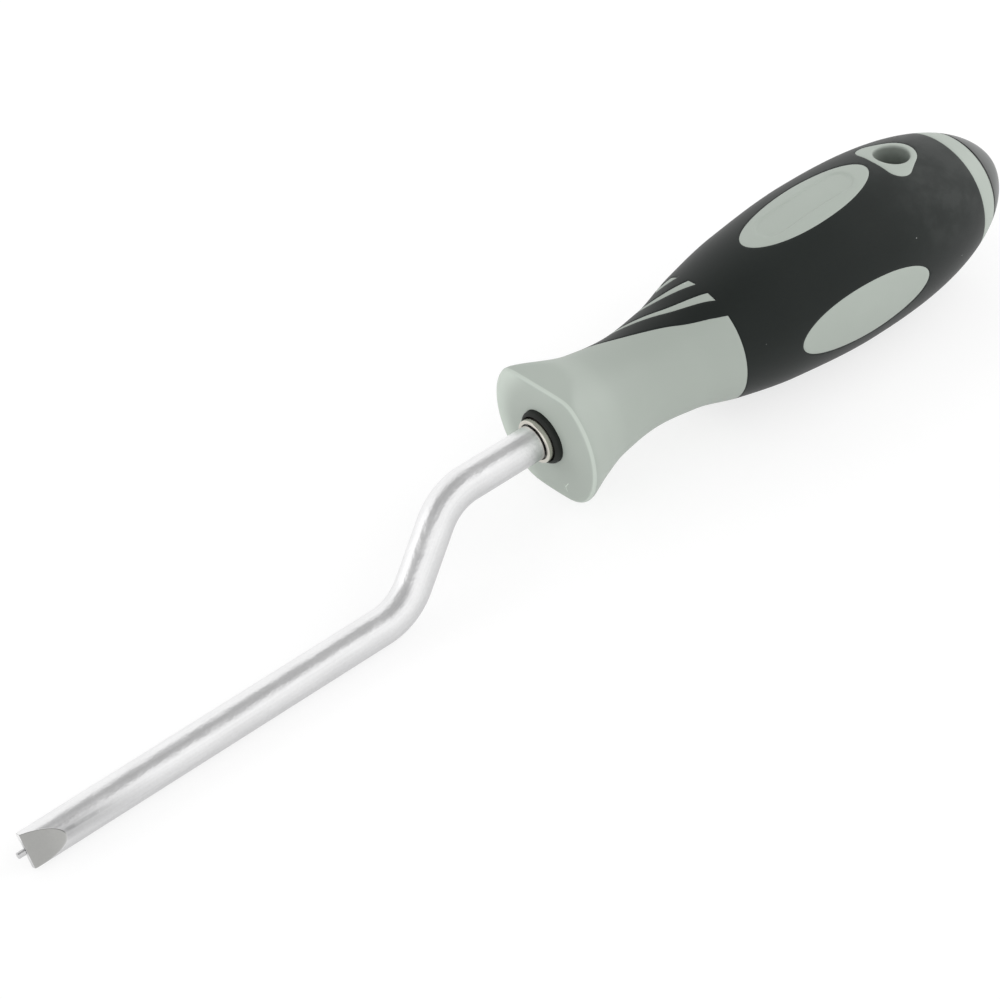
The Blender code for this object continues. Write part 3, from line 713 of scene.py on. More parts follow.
def hole_rings(sheet):
    """The hang hole: quarter rounds at both mouths, joined by straight lines down the wall."""
    rounding = sheet.mouth - HOLE_RADIUS
    turns = quarter_turn(ROUND_STEPS)
    top, under = (rolled(on_handle(*mouth.T, 0.0), -HOLE_TURN) for mouth in sheet.mouths)
    share = (1 - np.sin(turns) * rounding / sheet.mouth)[..., None]
    centre = np.array((HOLE_STATION, 0.0, 0.0))
    plan = np.array((1.0, 1.0, 0.0))
    upright = np.array((0.0, 0.0, 1.0))
    drop = (rounding * (1 - np.cos(turns)))[..., None] * upright
    upper = centre + (top - centre) * plan * share + top * upright - drop
    lower = centre + (under - centre) * plan * share + under * upright + drop
    return rolled(np.concatenate((upper, lower[::-1])), HOLE_TURN)


def core_patches(settings):
    """The core: lands flush with the cover, pockets under it, the face, the bore, the hole and the
    rear."""
    sheet = HandleSheet(settings)
    points = sheet.layers(POCKET_DEPTH)
    count = len(sheet.points)
    edge = settings.window_edge / MM
    rounding = settings.rim_rounding / MM
    return [used_only(points, sheet.land), used_only(points, sheet.cover + count),
            used_only(points, sheet.walls()),
            ring_patch(np.concatenate((rim_rings(rounding), face_rings(rounding, edge)))),
            ring_patch(band_rings(sheet, edge)), ring_patch(hole_rings(sheet))]


def cover_patches(settings):
    """The cover: its outer and inner faces and the walls of its edges and windows."""
    sheet = HandleSheet(settings)
    points = sheet.layers(COVER_THICKNESS)
    count = len(sheet.points)
    return [used_only(points, sheet.cover), used_only(points, sheet.cover + count),
            used_only(points, sheet.walls())]


def pad_patches(settings):
    """The butt pad: a flat front with a rounded edge, then rings whose radius falls evenly to the
    pole; the station follows from the half-width's own formula."""
    edge = settings.pad_edge / MM
    angles = handle_ring_angles()
    start = PAD_FRONT + edge
    outer = handle_radius(start, angles)
    turns = quarter_turn(ROUND_STEPS)[::-1]
    middle = round_axis(PAD_FRONT, 0.0, angles)
    rim = round_axis(start - edge * np.sin(turns), outer - edge * (1 - np.cos(turns)), angles)
    first = half_width(start) / BELLY_RADIUS
    share = np.linspace(first, 0.0, PAD_RINGS)[1:, None]
    stations = BELLY_STATION + REAR_LENGTH * (1 - share ** 2) ** (1 / REAR_ROUNDING)
    rear = round_axis(stations, share * BELLY_RADIUS * side_dip(angles), angles)
    return [ring_patch(np.concatenate((middle, rim, rear)))]


# The shank

def section_angles():
    """Angles round the shank, closer to the blade's edges: one quarter, mirrored three times."""
    edge = math.asin(BLADE_END_HALF / SHANK_RADIUS)
    quarter = np.concatenate((np.linspace(0.0, edge, BLADE_ARC_STEPS + 1)[:-1],
                              np.linspace(edge, math.pi / 2, BLADE_FLAT_STEPS + 1)))
    half = np.concatenate((quarter, math.pi - quarter[-2::-1]))
    return np.concatenate((half[:-1], math.pi + half[:-1]))


def journal_rows(edge):
    """Stations and radii from the journal's end to the shank's shoulder, with the ring's groove."""
    corners = ((JOURNAL_LENGTH, 0.0), (JOURNAL_LENGTH, JOURNAL_RADIUS - JOURNAL_CHAMFER),
               (JOURNAL_LENGTH - JOURNAL_CHAMFER, JOURNAL_RADIUS), (GROOVE_REAR, JOURNAL_RADIUS),
               (GROOVE_REAR, GROOVE_RADIUS), (GROOVE_FRONT, GROOVE_RADIUS),
               (GROOVE_FRONT, JOURNAL_RADIUS), (SHOULDER_STATION, JOURNAL_RADIUS),
               (SHOULDER_STATION, SHANK_RADIUS),
               (SHOULDER_STATION - 2 * edge, SHANK_RADIUS))
    return softened(corners, edge)


def crank_rows():
    """Stations, heights and turns of the centre line: a bend down, a slope, and a bend back."""
    turns = np.linspace(0.0, CRANK_BEND, BEND_STEPS + 1)
    tangent = BEND_RADIUS * math.tan(CRANK_BEND / 2)
    along = BEND_RADIUS * np.sin(turns)
    drop = BEND_RADIUS * (1 - np.cos(turns))
    first = side_by_side(FIRST_CORNER + tangent - along, -drop, turns)
    second = side_by_side(SECOND_CORNER - tangent + along, drop - CRANK_OFFSET, turns)
    return np.concatenate((first, second[::-1]))


def blade_rows(angles):
    """Stations and half-thicknesses of the blade, one row where its flats reach each angle of the
    section."""
    reached = np.sort(angles[angles <= math.pi / 2 + MERGE_LIMIT])[::-1][:BLADE_FLAT_STEPS + 1]
    halves = SHANK_RADIUS * np.sin(reached)
    slope = (SHANK_RADIUS - BLADE_END_HALF) / BLADE_LENGTH
    return BLADE_END + (halves - BLADE_END_HALF) / slope, halves


def shank_rows(edge):
    """Station, height, turn, radius and half-thickness of every ring from the journal to the blade's
    end."""
    level = -CRANK_OFFSET
    station, radius = journal_rows(edge).T
    journal = side_by_side(station, 0.0, 0.0, radius, SHANK_RADIUS)
    crank = side_by_side(*crank_rows().T, SHANK_RADIUS, SHANK_RADIUS)
    station, half = blade_rows(section_angles())
    station[-1] += edge
    blade = side_by_side(station, level, 0.0, SHANK_RADIUS, half)
    end = ((BLADE_END, level, 0.0, SHANK_RADIUS - edge, BLADE_END_HALF - edge),
           (BLADE_END, level, 0.0, 0.0, BLADE_END_HALF))
    return np.concatenate((journal, crank, blade, end))


def split_quads(rows, columns):
    """Two triangles for each quad of a ring grid; the diagonal leans towards the section's poles,
    so that it follows the edge of each flat."""
    quads = grid_quads(rows, columns)
    quarter = columns // 4
    leaning = (np.arange(len(quads)) % columns) // quarter % 2 == 0
    one, two, three, four = quads.T
    first = np.where(leaning, np.stack((one, two, four)), np.stack((one, two, three)))
    second = np.where(leaning, np.stack((two, three, four)), np.stack((one, three, four)))
    return np.concatenate((first, second), axis=1).T


def shank_patch(settings):
    """The cranked shank: a round section carried along the centre line, cut to the blade's thickness.
    Also gives each point's place on the rod as if it were straight: length, and two places across."""
    edge = settings.edge_rounding / MM
    angles = section_angles()[None, :]
    station, height, turn, radius, half = (column[:, None] for column in shank_rows(edge).T)
    across = np.clip(radius * np.sin(angles), -half, half)
    up = radius * np.cos(angles)
    points = np.stack((station - np.sin(turn) * up, across, height + np.cos(turn) * up), axis=-1)
    steps = np.hypot(np.diff(station[:, 0]), np.diff(height[:, 0]))
    length = np.concatenate(([0.0], np.cumsum(steps)))
    length = length - length[-1]
    straight = np.stack(np.broadcast_arrays(length[:, None], up, across), axis=-1)
    rows, columns = points.shape[:2]
    patch = turned_with_shank(points).reshape(-1, 3), split_quads(rows, columns)
    return patch, straight.reshape(-1, 3)


def pin_patch(settings):
    """The pilot pin: a slim root in the blade and a nose with a rounded end, on the blade's own axis."""
    edge = settings.edge_rounding / MM
    step = BLADE_END - FLOOR_GAP
    root = BLADE_END + PIN_ROOT_LENGTH
    corners = ((root, 0.0), (root, PIN_ROOT_RADIUS), (step, PIN_ROOT_RADIUS), (step, PIN_RADIUS),
               (TIP_END, PIN_RADIUS), (TIP_END, 0.0))
    points, faces = turned_patch(corners, edge)
    return turned_with_shank(points + np.array((0.0, 0.0, -CRANK_OFFSET))), faces


# The bearing's front end

def bush_patch(settings):
    """The front bush: a closed section with rounded edges, carried round the axis."""
    edge = settings.bush_edge / MM
    recess = NOSE_RECESS - NOSE_REACH
    corners = ((0.0, BUSH_INNER), (recess, BUSH_INNER), (recess, NOSE_RECESS_RADIUS),
               (-NOSE_REACH, NOSE_RECESS_RADIUS), (-NOSE_REACH, NOSE_RADIUS),
               (BUSH_SHOULDER, NOSE_RADIUS), (BUSH_SHOULDER, BUSH_RADIUS), (BUSH_REAR, BUSH_RADIUS),
               (BUSH_REAR, BUSH_INNER), (0.0, BUSH_INNER))
    return turned_patch(corners, edge)


def seal_patch(settings):
    """The dust seal: a lip that leans on the bush and a collar that fills the recess."""
    edge = settings.seal_edge / MM
    corners = ((0.0, SEAL_INNER), (-SEAL_REACH, SEAL_INNER), (-SEAL_REACH, SEAL_LIP_RADIUS),
               (-SEAL_COLLAR, SEAL_FACE_RADIUS), (SEAL_REAR, SEAL_FACE_RADIUS), (SEAL_REAR, SEAL_INNER),
               (0.0, SEAL_INNER))
    return turned_patch(corners, edge)


# Materials

ROD_PLACE = "rod_place"
WHITE = (1.0, 1.0, 1.0, 1.0)
PER_MM = 1 / MM
MIX_SOCKETS = (0, 6, 7)
MIX_OUTPUT = 2
SMOOTH_DETAIL = 2.0
CLOUD_DETAIL = 3.0
ROUGH_DETAIL = 4.0


class Wire:
    """A node's output that takes part in Python expressions; each operator adds one Math node."""

    def __init__(self, board, socket):
        """Keep the socket and the board it is on."""
        self.board = board
        self.socket = socket

    def maths(self, operation, first, second):
        """A Math node on two wires or numbers."""
        return self.board.node("ShaderNodeMath", {"operation": operation}, {0: first, 1: second})

    def __add__(self, other):
        """The sum with a wire or a number."""
        return self.maths("ADD", self, other)

    __radd__ = __add__

    def __mul__(self, other):
        """The product with a wire or a number."""
        return self.maths("MULTIPLY", self, other)

    __rmul__ = __mul__

    def __sub__(self, other):
        """This less a wire or a number."""
        return self.maths("SUBTRACT", self, other)

    def __rsub__(self, other):
        """A number less this."""
        return self.maths("SUBTRACT", other, self)

    def __lt__(self, other):
        """1 where this is the lower, else 0."""
        return self.maths("LESS_THAN", self, other)

    def __gt__(self, other):
        """1 where this is the higher, else 0."""
        return self.maths("GREATER_THAN", self, other)


class Board:
    """A node tree that nodes are added to."""

    def __init__(self, tree):
        """Start from an empty tree."""
        self.tree = tree
        tree.nodes.clear()

    def node(self, kind, settings=None, sockets=None, output=0):
        """Add a node of a type: its settings first, then its sockets' values or links."""
        made = self.tree.nodes.new(kind)
        for name, value in (settings or {}).items():
            setattr(made, name, value)
        for name, value in (sockets or {}).items():
            if isinstance(value, Wire):
                self.tree.links.new(value.socket, made.inputs[name])
            else:
                made.inputs[name].default_value = value
        return Wire(self, made.outputs[output]) if made.outputs else None

    def place(self):
        """Object coordinates in metres."""
        return self.node("ShaderNodeTexCoord", output="Object")

    def noise(self, vector, scale, detail=SMOOTH_DETAIL):
        """Smooth noise from 0 to 1."""
        return self.node("ShaderNodeTexNoise", None, {"Vector": vector, "Scale": scale, "Detail": detail})

    def stretched_noise(self, vector, scales, detail=SMOOTH_DETAIL):
        """Noise with its own scale along each part of the vector."""
        return self.noise(self.stretched(vector, scales), 1.0, detail)

    def stretched(self, vector, scales):
        """A vector with each part multiplied by its own scale."""
        return self.node("ShaderNodeVectorMath", {"operation": "MULTIPLY"}, {0: vector, 1: scales})

    def parts(self, vector):
        """The three parts of a vector."""
        split = self.node("ShaderNodeSeparateXYZ", None, {0: vector})
        return [Wire(self, socket) for socket in split.socket.node.outputs]

    def from_face(self, place):
        """Millimetres from the centre of the handle's front face: along the axis, across it and up."""
        along, across, up = self.parts(place)
        return along * PER_MM - FACE_STATION, across * PER_MM, up * PER_MM - AXIS_HEIGHT

    def between(self, value, low, high):
        """0 below low, 1 above high, and a smooth rise between."""
        return self.node("ShaderNodeMapRange", {"interpolation_type": "SMOOTHSTEP"},
                         {"Value": value, "From Min": low, "From Max": high})

    def within(self, value, start, end, soft):
        """1 from start to end, fading to 0 over a soft width outside them."""
        return self.between(value, start - soft, start) * (1 - self.between(value, end, end + soft))

    def stroke(self, first, second, start, end, half_width):
        """1 along a straight stroke between two points of a plane, fading at its sides."""
        run = np.subtract(end, start)
        length = float(np.hypot(*run))
        ahead = (run / length).tolist()
        along = (first - start[0]) * ahead[0] + (second - start[1]) * ahead[1]
        aside = (second - start[1]) * ahead[0] - (first - start[0]) * ahead[1]
        width = half_width ** 2
        beside_it = self.between(aside * aside, 0.0, width)
        return self.within(along, 0.0, length, half_width) * (1 - beside_it)

    def mix(self, share, first, second):
        """One colour going over into another."""
        sockets = dict(zip(MIX_SOCKETS, (share, first, second)))
        return self.node("ShaderNodeMix", {"data_type": "RGBA"}, sockets, output=MIX_OUTPUT)

    def two_toned(self, share, colour, tones):
        """A colour going over from one tone of it to another."""
        return self.mix(share, *(shade(colour, tone) for tone in tones))

    def painted(self, colour, base, marks):
        """A colour with marks laid over it in turn, each a mask and a tone of the base colour."""
        for mask, tone in marks:
            colour = self.mix(mask, colour, shade(base, tone))
        return colour

    def bump(self, height, strength, distance):
        """A normal that follows a height, its distance in millimetres."""
        return self.node("ShaderNodeBump", None,
                         {"Height": height, "Strength": strength, "Distance": distance * MM})

    def dust(self, vector, scale, size, share):
        """Small specks: the middles of Voronoi cells, kept for a share of the cells."""
        kind = {"feature": "F1"}
        cells = {"Vector": vector, "Scale": scale}
        distance = self.node("ShaderNodeTexVoronoi", kind, cells)
        chance = self.parts(self.node("ShaderNodeTexVoronoi", kind, cells, output="Color"))[0]
        return (distance < size) * (chance < share)

    def finish(self, sockets):
        """A Principled shader with the sockets given, joined to the output."""
        shader = self.node("ShaderNodeBsdfPrincipled", None, sockets)
        self.node("ShaderNodeOutputMaterial", None, {"Surface": shader})


def new_board(name):
    """A material and the board for its nodes."""
    material = bpy.data.materials.new(name)
    material.use_nodes = True
    return material, Board(material.node_tree)


def shade(colour, factor):
    """A colour made lighter or darker, with full alpha."""
    return (*(min(1.0, part * factor) for part in colour), 1.0)


def spread(middle, half, noise):
    """A value that a noise carries from a half-width below its middle to the same above it."""
    return middle - half + 2 * half * noise


# The core's marks: patterns per metre, tones as shares of its colour, places in millimetres
CORE_CLOUDS = 90.0
CORE_GRAIN = 5200.0
CORE_SPECKS = 260.0
CORE_SPECK_SIZE = 0.045
CORE_SPECK_SHARE = 0.25
CORE_TONES = (0.965, 1.035)
SPECK_TONE = 1.17
# Painted highlight: a blotchy light line along the flange's rim edge
RIM_HIGHLIGHT_SPAN = (0.25, 0.60)
RIM_HIGHLIGHT_SOFT = 0.22
RIM_HIGHLIGHT_INNER = 8.0
RIM_HIGHLIGHT_LEAST = 0.5
RIM_HIGHLIGHT_TONE = 1.32
# Painted highlight on one side of the front face, towards the rim
FACE_HIGHLIGHT_REACH = (8.5, 13.4)
FACE_HIGHLIGHT_SIDE = (1.0, 9.0)
FACE_HIGHLIGHT_TONE = 1.38
# Painted shade inside the hang hole
HOLE_SHADE_TONE = 0.62
HOLE_SHADED = (HOLE_RADIUS, HOLE_RADIUS + 0.40)
SCRATCH = ((-6.0, -8.1), (-5.05, -9.45), (-5.4, -10.35))
SCRATCH_HALF = 0.08
SCRATCH_TONE = 1.8
FACE_DEPTH = 0.03
# Painted shade over the upper side of the neck
NECK_SHADE_SPAN = (16.0, 44.0)
NECK_SHADE_SOFT = 9.0
NECK_UPPER = (-6.0, 8.0)
NECK_SHADE_TONE = 0.91
CORE_SPREAD = 0.05
CORE_SPECULAR = 0.35
CORE_BUMP = (0.10, 0.04)


def core_marks(board, place):
    """Where the rim and one side of the face get a painted highlight, the hang hole gets painted
    shade, the face is scratched and the neck's top gets painted shade, each from 0 to 1."""
    along, across, up = board.from_face(place)
    squared = across * across + up * up
    near, far = (radius ** 2 for radius in FACE_HIGHLIGHT_REACH)
    # Painted highlight along the rim, and on one side of the front face towards the rim
    rim = board.within(along, *RIM_HIGHLIGHT_SPAN, RIM_HIGHLIGHT_SOFT) * (squared > RIM_HIGHLIGHT_INNER ** 2)
    face = board.between(squared, near, far) * board.between(across, *FACE_HIGHLIGHT_SIDE)
    face = face * (along < RIM_HIGHLIGHT_SPAN[1])
    # Painted shade inside the hang hole, fading out at its mouth
    aside = across * math.cos(HOLE_TURN) + up * math.sin(HOLE_TURN)
    ahead = along - HOLE_STATION
    low, high = (radius ** 2 for radius in HOLE_SHADED)
    shaded = 1 - board.between(ahead * ahead + aside * aside, low, high)
    strokes = zip(SCRATCH, SCRATCH[1:])
    scratch = sum(board.stroke(across, up, start, end, SCRATCH_HALF) for start, end in strokes)
    # Painted shade over the upper side of the neck
    neck_shade = board.within(along, *NECK_SHADE_SPAN, NECK_SHADE_SOFT) * board.between(up, *NECK_UPPER)
    return rim, face, shaded, scratch * (along < FACE_DEPTH), neck_shade


def core_material(settings):
    """Satin moulded plastic: faint clouds of tone, a fine matt grain, pale specks, a scratch, painted
    highlights on the rim and face, and painted shade on the neck's top and in the hang hole.
    """
    material, board = new_board("grey_green_plastic")
    place = board.place()
    clouds = board.noise(place, CORE_CLOUDS, CLOUD_DETAIL)
    grain = board.noise(place, CORE_GRAIN)
    specks = board.dust(place, CORE_SPECKS, CORE_SPECK_SIZE, CORE_SPECK_SHARE)
    rim, face, shaded, scratch, neck_shade = core_marks(board, place)
    colour = board.two_toned(clouds, settings.core_colour, CORE_TONES)
    # The rim and face marks are painted highlights; the neck and hang hole marks are painted shade
    colour = board.painted(colour, settings.core_colour, (
        (neck_shade, NECK_SHADE_TONE), (specks, SPECK_TONE), (face, FACE_HIGHLIGHT_TONE),
        (rim * (RIM_HIGHLIGHT_LEAST + clouds), RIM_HIGHLIGHT_TONE), (scratch, SCRATCH_TONE), (shaded, HOLE_SHADE_TONE)))
    board.finish({
        "Base Color": colour,
        "Roughness": spread(settings.core_roughness, CORE_SPREAD, clouds),
        "Specular IOR Level": CORE_SPECULAR,
        "Normal": board.bump(grain, *CORE_BUMP),
    })
    return material


# The cover's marks
COVER_CLOUDS = 55.0
COVER_MOTTLE = 900.0
COVER_GRAIN = 4200.0
COVER_DUST = 420.0
COVER_DUST_SIZE = 0.055
COVER_DUST_SHARE = 0.10
COVER_DUST_STRENGTH = 0.7
COVER_TONES = (0.75, 1.35)
COVER_MOTTLE_TONE = 1.6
COVER_MOTTLE_STRENGTH = 0.4
# Painted sheen over the upper rear of the cover, broken up by real scuffs
REAR_SHEEN_SPAN = (76.0, 94.0)
REAR_UPPER = (-2.0, 10.0)
REAR_SHEEN_TONE = 0.70
COVER_SCUFFS = 230.0
SCUFF_LEAST = 0.40
SCUFF_LEVELS = (0.32, 0.78)
COVER_SHEEN = 0.12
COVER_SPREAD = 0.06
COVER_SPECULAR = 0.18
COVER_BUMP = (0.25, 0.05)


def cover_material(settings):
    """Soft black overmould: uneven rubbed tone, a painted sheen over the upper rear broken up by pale
    scuffs, fine pitted grain, and light dust."""
    material, board = new_board("black_soft_cover")
    place = board.place()
    along, _, up = board.from_face(place)
    rubbed = board.noise(place, COVER_CLOUDS, ROUGH_DETAIL)
    mottle = board.noise(place, COVER_MOTTLE, CLOUD_DETAIL) * COVER_MOTTLE_STRENGTH
    grain = board.noise(place, COVER_GRAIN)
    scuffs = board.noise(place, COVER_SCUFFS, ROUGH_DETAIL)
    dust = board.dust(place, COVER_DUST, COVER_DUST_SIZE, COVER_DUST_SHARE) * COVER_DUST_STRENGTH
    # Painted sheen over the upper rear, in scuffed patches
    rear = board.between(along, *REAR_SHEEN_SPAN) * board.between(up, *REAR_UPPER)
    rear = rear * (SCUFF_LEAST + board.between(scuffs, *SCUFF_LEVELS))
    colour = board.two_toned(rubbed, settings.cover_colour, COVER_TONES)
    colour = board.mix(mottle, colour, shade(settings.cover_colour, COVER_MOTTLE_TONE))
    # The painted sheen takes a tone of the pad's grey
    colour = board.mix(rear, colour, shade(settings.pad_colour, REAR_SHEEN_TONE))
    colour = board.mix(dust, colour, shade(settings.dust_colour, 1.0))
    board.finish({
        "Base Color": colour,
        "Roughness": spread(settings.cover_roughness, COVER_SPREAD, rubbed),
        "Specular IOR Level": COVER_SPECULAR,
        "Sheen Weight": COVER_SHEEN,
        "Normal": board.bump(grain, *COVER_BUMP),
    })
    return material


# The pad's marks
PAD_CLOUDS = 160.0
PAD_GRAIN = 3000.0
PAD_TONES = (0.85, 1.2)
# Darker along the pad's front edge, next to the joint with the band
PAD_DARK_EDGE = (PAD_FRONT + 0.2, PAD_FRONT + 2.2)
PAD_DARK_EDGE_TONE = 0.30
PAD_ROUGHNESS = 0.34
PAD_SPREAD = 0.07
PAD_SPECULAR = 0.75
PAD_BUMP = (0.15, 0.04)


def pad_material(settings):
    """Dark rubber with a smoother skin, lightly scuffed, and darker along its front edge by the joint."""
    material, board = new_board("dark_butt_rubber")
    place = board.place()
    along = board.from_face(place)[0]
    rubbed = board.noise(place, PAD_CLOUDS, ROUGH_DETAIL)
    grain = board.noise(place, PAD_GRAIN)
    colour = board.two_toned(rubbed, settings.pad_colour, PAD_TONES)
    outside_dark_band = board.between(along, *PAD_DARK_EDGE)
    board.finish({
        "Base Color": board.mix(outside_dark_band, shade(settings.pad_colour, PAD_DARK_EDGE_TONE), colour),
        "Roughness": spread(PAD_ROUGHNESS, PAD_SPREAD, rubbed),
        "Specular IOR Level": PAD_SPECULAR,
        "Normal": board.bump(grain, *PAD_BUMP),
    })
    return material


# The steel's marks: patterns per millimetre along, up and across the straightened rod
STEEL_STREAKS = (0.05, 2.6, 2.6)
STEEL_CLOUDS = (0.16, 0.45, 0.45)
STEEL_MOTTLE = (0.30, 0.75, 0.75)
STEEL_SPECKS = (2.0, 2.0, 2.0)
STEEL_WEIGHTS = (0.4, 0.3, 0.3)
STEEL_SPREAD = 0.05
STEEL_BUMP = (0.20, 0.6)
SPECK_HEIGHT = 0.30
GROUND_RADIUS = 3.47
GROUND_BORDER = 3.38
GROUND_FADE = 3.30
GROUND_FADED = 0.3
END_FACE = 0.06
# Painted shade along the upper edge of the blade's flats
FLAT_EDGE_SHADE_TONE = 0.62
BORDER_SIDE = (-0.2, 0.8)
RUBBED_SPAN = (-17.5, -BLADE_LENGTH)
RUBBED_FADE = 1.0
RUBBED_HEIGHT = 0.919
RUBBED_LEAN = 0.0359
RUBBED_SPREAD = (0.0, 0.22)
RUBBED_CLOUDS = (0.45, 0.8, 0.8)
RUBBED_LEVELS = (0.15, 0.80)
RUBBED_TONE = 0.30
RUBBED_ROUGHNESS = 0.2
DULLED_SPAN = (-29.0, -BLADE_LENGTH)
DULLED_LOWER = 0.35
DULLED_SPREAD = (0.0, 3.6)
DULLED_TONE = 0.56
FLECK_LEVELS = (0.66, 0.74)
FLECK_TONE = 1.1
GROUND_SPAN = (-BLADE_LENGTH, -2.0)
GROUND_TONES = (1.12, 1.01)
GROUND_ROUGHNESS = 0.3
# Painted shade on the rod's lower side
LOWER_SHADE_SIDE = (-3.3, 1.2)
LOWER_SHADE_TONE = 0.68
PIN_SHIFT = (30.0, 0.0, SHANK_RADIUS)


def blade_marks(board, rod):
    """Where the blade is ground, the painted shade along its flats' upper edge, and where the rod behind
    one of them is rubbed and dull, each from 0 to 1."""
    along, up, across = board.parts(rod)
    squared = up * up + across * across
    blade = (along > -BLADE_LENGTH) * (along < -END_FACE) * (squared < GROUND_RADIUS ** 2)
    upper = board.between(up, *BORDER_SIDE)
    # Painted shade along the upper edge of the flat
    border = blade * upper * (squared > GROUND_BORDER ** 2)
    faded = board.between(squared, GROUND_FADE ** 2, GROUND_RADIUS ** 2) * (1 - upper)
    ground = blade * (1 - faded * GROUND_FADED)
    aside = up - RUBBED_HEIGHT - RUBBED_LEAN * along
    smear = board.stretched_noise(rod, RUBBED_CLOUDS)
    near_side = (across < 0.0) * (1 - ground)
    rubbed = board.within(along, *RUBBED_SPAN, RUBBED_FADE) * near_side
    rubbed = rubbed * board.between(along, *RUBBED_SPAN) * board.between(smear, *RUBBED_LEVELS)
    rubbed = rubbed * (1 - board.between(aside * aside, *RUBBED_SPREAD))
    below = aside + DULLED_LOWER
    dulled = board.between(along, *DULLED_SPAN) * near_side
    dulled = dulled * (1 - board.between(below * below, *DULLED_SPREAD))
    return ground, border, rubbed, dulled


def streaked_steel(board, settings, pattern, tone):
    """The steel's colour at one tone, streaked lighter and darker."""
    strength = settings.streak_strength
    tones = (tone * (1 - strength), tone * (1 + strength / 2))
    return board.two_toned(pattern, settings.steel_colour, tones)


def steel_material(settings):
    """Satin plated steel: fine streaks along the rod, clouds of tone, painted shade on the lower side, a
    duller ground finish on the blade's flats with painted shade along their upper edge, and a rubbed
    and dull place behind one of them."""
    material, board = new_board("satin_steel")
    rod = board.node("ShaderNodeAttribute", {"attribute_name": ROD_PLACE}, output="Vector")
    streaks = board.stretched_noise(rod, STEEL_STREAKS, CLOUD_DETAIL)
    clouds = board.stretched_noise(rod, STEEL_CLOUDS, CLOUD_DETAIL)
    mottle = board.stretched_noise(rod, STEEL_MOTTLE, ROUGH_DETAIL)
    specks = board.stretched_noise(rod, STEEL_SPECKS, CLOUD_DETAIL)
    ground, border, rubbed, dulled = blade_marks(board, rod)
    along, up, _ = board.parts(rod)
    streak_weight, cloud_weight, speck_weight = STEEL_WEIGHTS
    pattern = streaks * streak_weight + clouds * cloud_weight + specks * speck_weight
    lower_shaded, plain, dull = (streaked_steel(board, settings, pattern, tone)
                           for tone in (LOWER_SHADE_TONE, 1.0, DULLED_TONE))
    flat = board.two_toned(board.between(along, *GROUND_SPAN), settings.ground_colour, GROUND_TONES)
    flecks = rubbed * board.between(specks, *FLECK_LEVELS)
    # Painted shade on the lower side of the rod
    colour = board.mix(board.between(up, *LOWER_SHADE_SIDE), lower_shaded, plain)
    colour = board.mix(dulled, colour, dull)
    colour = board.mix(ground, colour, flat)
    # Painted shade along the upper edge of the flats
    colour = board.mix(border, colour, shade(settings.ground_colour, FLAT_EDGE_SHADE_TONE))
    colour = board.painted(colour, settings.steel_colour, ((rubbed, RUBBED_TONE), (flecks, FLECK_TONE)))
    roughness = spread(settings.steel_roughness, STEEL_SPREAD, pattern)
    board.finish({
        "Base Color": colour,
        "Metallic": 1.0,
        "Roughness": roughness + RUBBED_ROUGHNESS * rubbed + GROUND_ROUGHNESS * ground,
        "Normal": board.bump(mottle + specks * SPECK_HEIGHT, *STEEL_BUMP),
    })
    return material


# Turning marks: patterns per metre along the axis and across it
BUSH_RINGS = (1800.0, 12.0, 12.0)
RACE_RINGS = (1500.0, 20.0, 20.0)
RING_TONES = (0.85, 1.1)
TURNED_ROUGHNESS = 0.24
TURNED_SPREAD = 0.06
BUSH_BUMP = (0.08, 0.03)
# Painted shade: a dark, not metallic, colour in the nose's recess round the journal
RECESS_SHADE_TONE = 0.06
RECESS_EDGE = (NOSE_RECESS_RADIUS + 0.02, NOSE_RECESS_RADIUS + 0.12)
GREASE_CLOUDS = 700.0
GREASE_TONES = (0.7, 1.5)
SEAL_ROUGHNESS = 0.58
SEAL_SPREAD = 0.12
SEAL_SPECULAR = 0.2


def bush_material(settings):
    """Turned pale bronze: rings of tone round the axis, and painted shade in the recess round the
    journal, dark and not metallic.
    """
    material, board = new_board("pale_bronze")
    place = board.place()
    _, across, up = board.from_face(place)
    rings = board.stretched_noise(place, BUSH_RINGS)
    colour = board.two_toned(rings, settings.bush_colour, RING_TONES)
    # Painted shade in the recess: dark and not metallic
    low, high = (radius ** 2 for radius in RECESS_EDGE)
    outside_dark_band = board.between(across * across + up * up, low, high)
    board.finish({
        "Base Color": board.mix(outside_dark_band, shade(settings.bush_colour, RECESS_SHADE_TONE), colour),
        "Metallic": outside_dark_band,
        "Roughness": spread(TURNED_ROUGHNESS, TURNED_SPREAD, rings),
        "Normal": board.bump(rings, *BUSH_BUMP),
    })
    return material


def bright_steel_material(settings):
    """Bright steel of the hidden bearing pieces: faint turning rings."""
    material, board = new_board("bright_steel")
    rings = board.stretched_noise(board.place(), RACE_RINGS)
    board.finish({
        "Base Color": board.two_toned(rings, settings.race_colour, RING_TONES),
        "Metallic": 1.0,
        "Roughness": spread(TURNED_ROUGHNESS, TURNED_SPREAD, rings),
    })
    return material


def seal_material(settings):
    """Black rubber of the dust seal, with a little grease on it."""
    material, board = new_board("black_rubber")
    grease = board.noise(board.place(), GREASE_CLOUDS, CLOUD_DETAIL)
    board.finish({
        "Base Color": board.two_toned(grease, settings.seal_colour, GREASE_TONES),
        "Roughness": spread(SEAL_ROUGHNESS, SEAL_SPREAD, grease),
        "Specular IOR Level": SEAL_SPECULAR,
    })
    return material


# The floor: its pattern per metre, its tones, and the rays that see it lifted
FLOOR_CLOUDS = 2.0
FLOOR_TONES = (0.99, 1.0)
SEEN_RAYS = ("Is Camera Ray", "Is Glossy Ray")


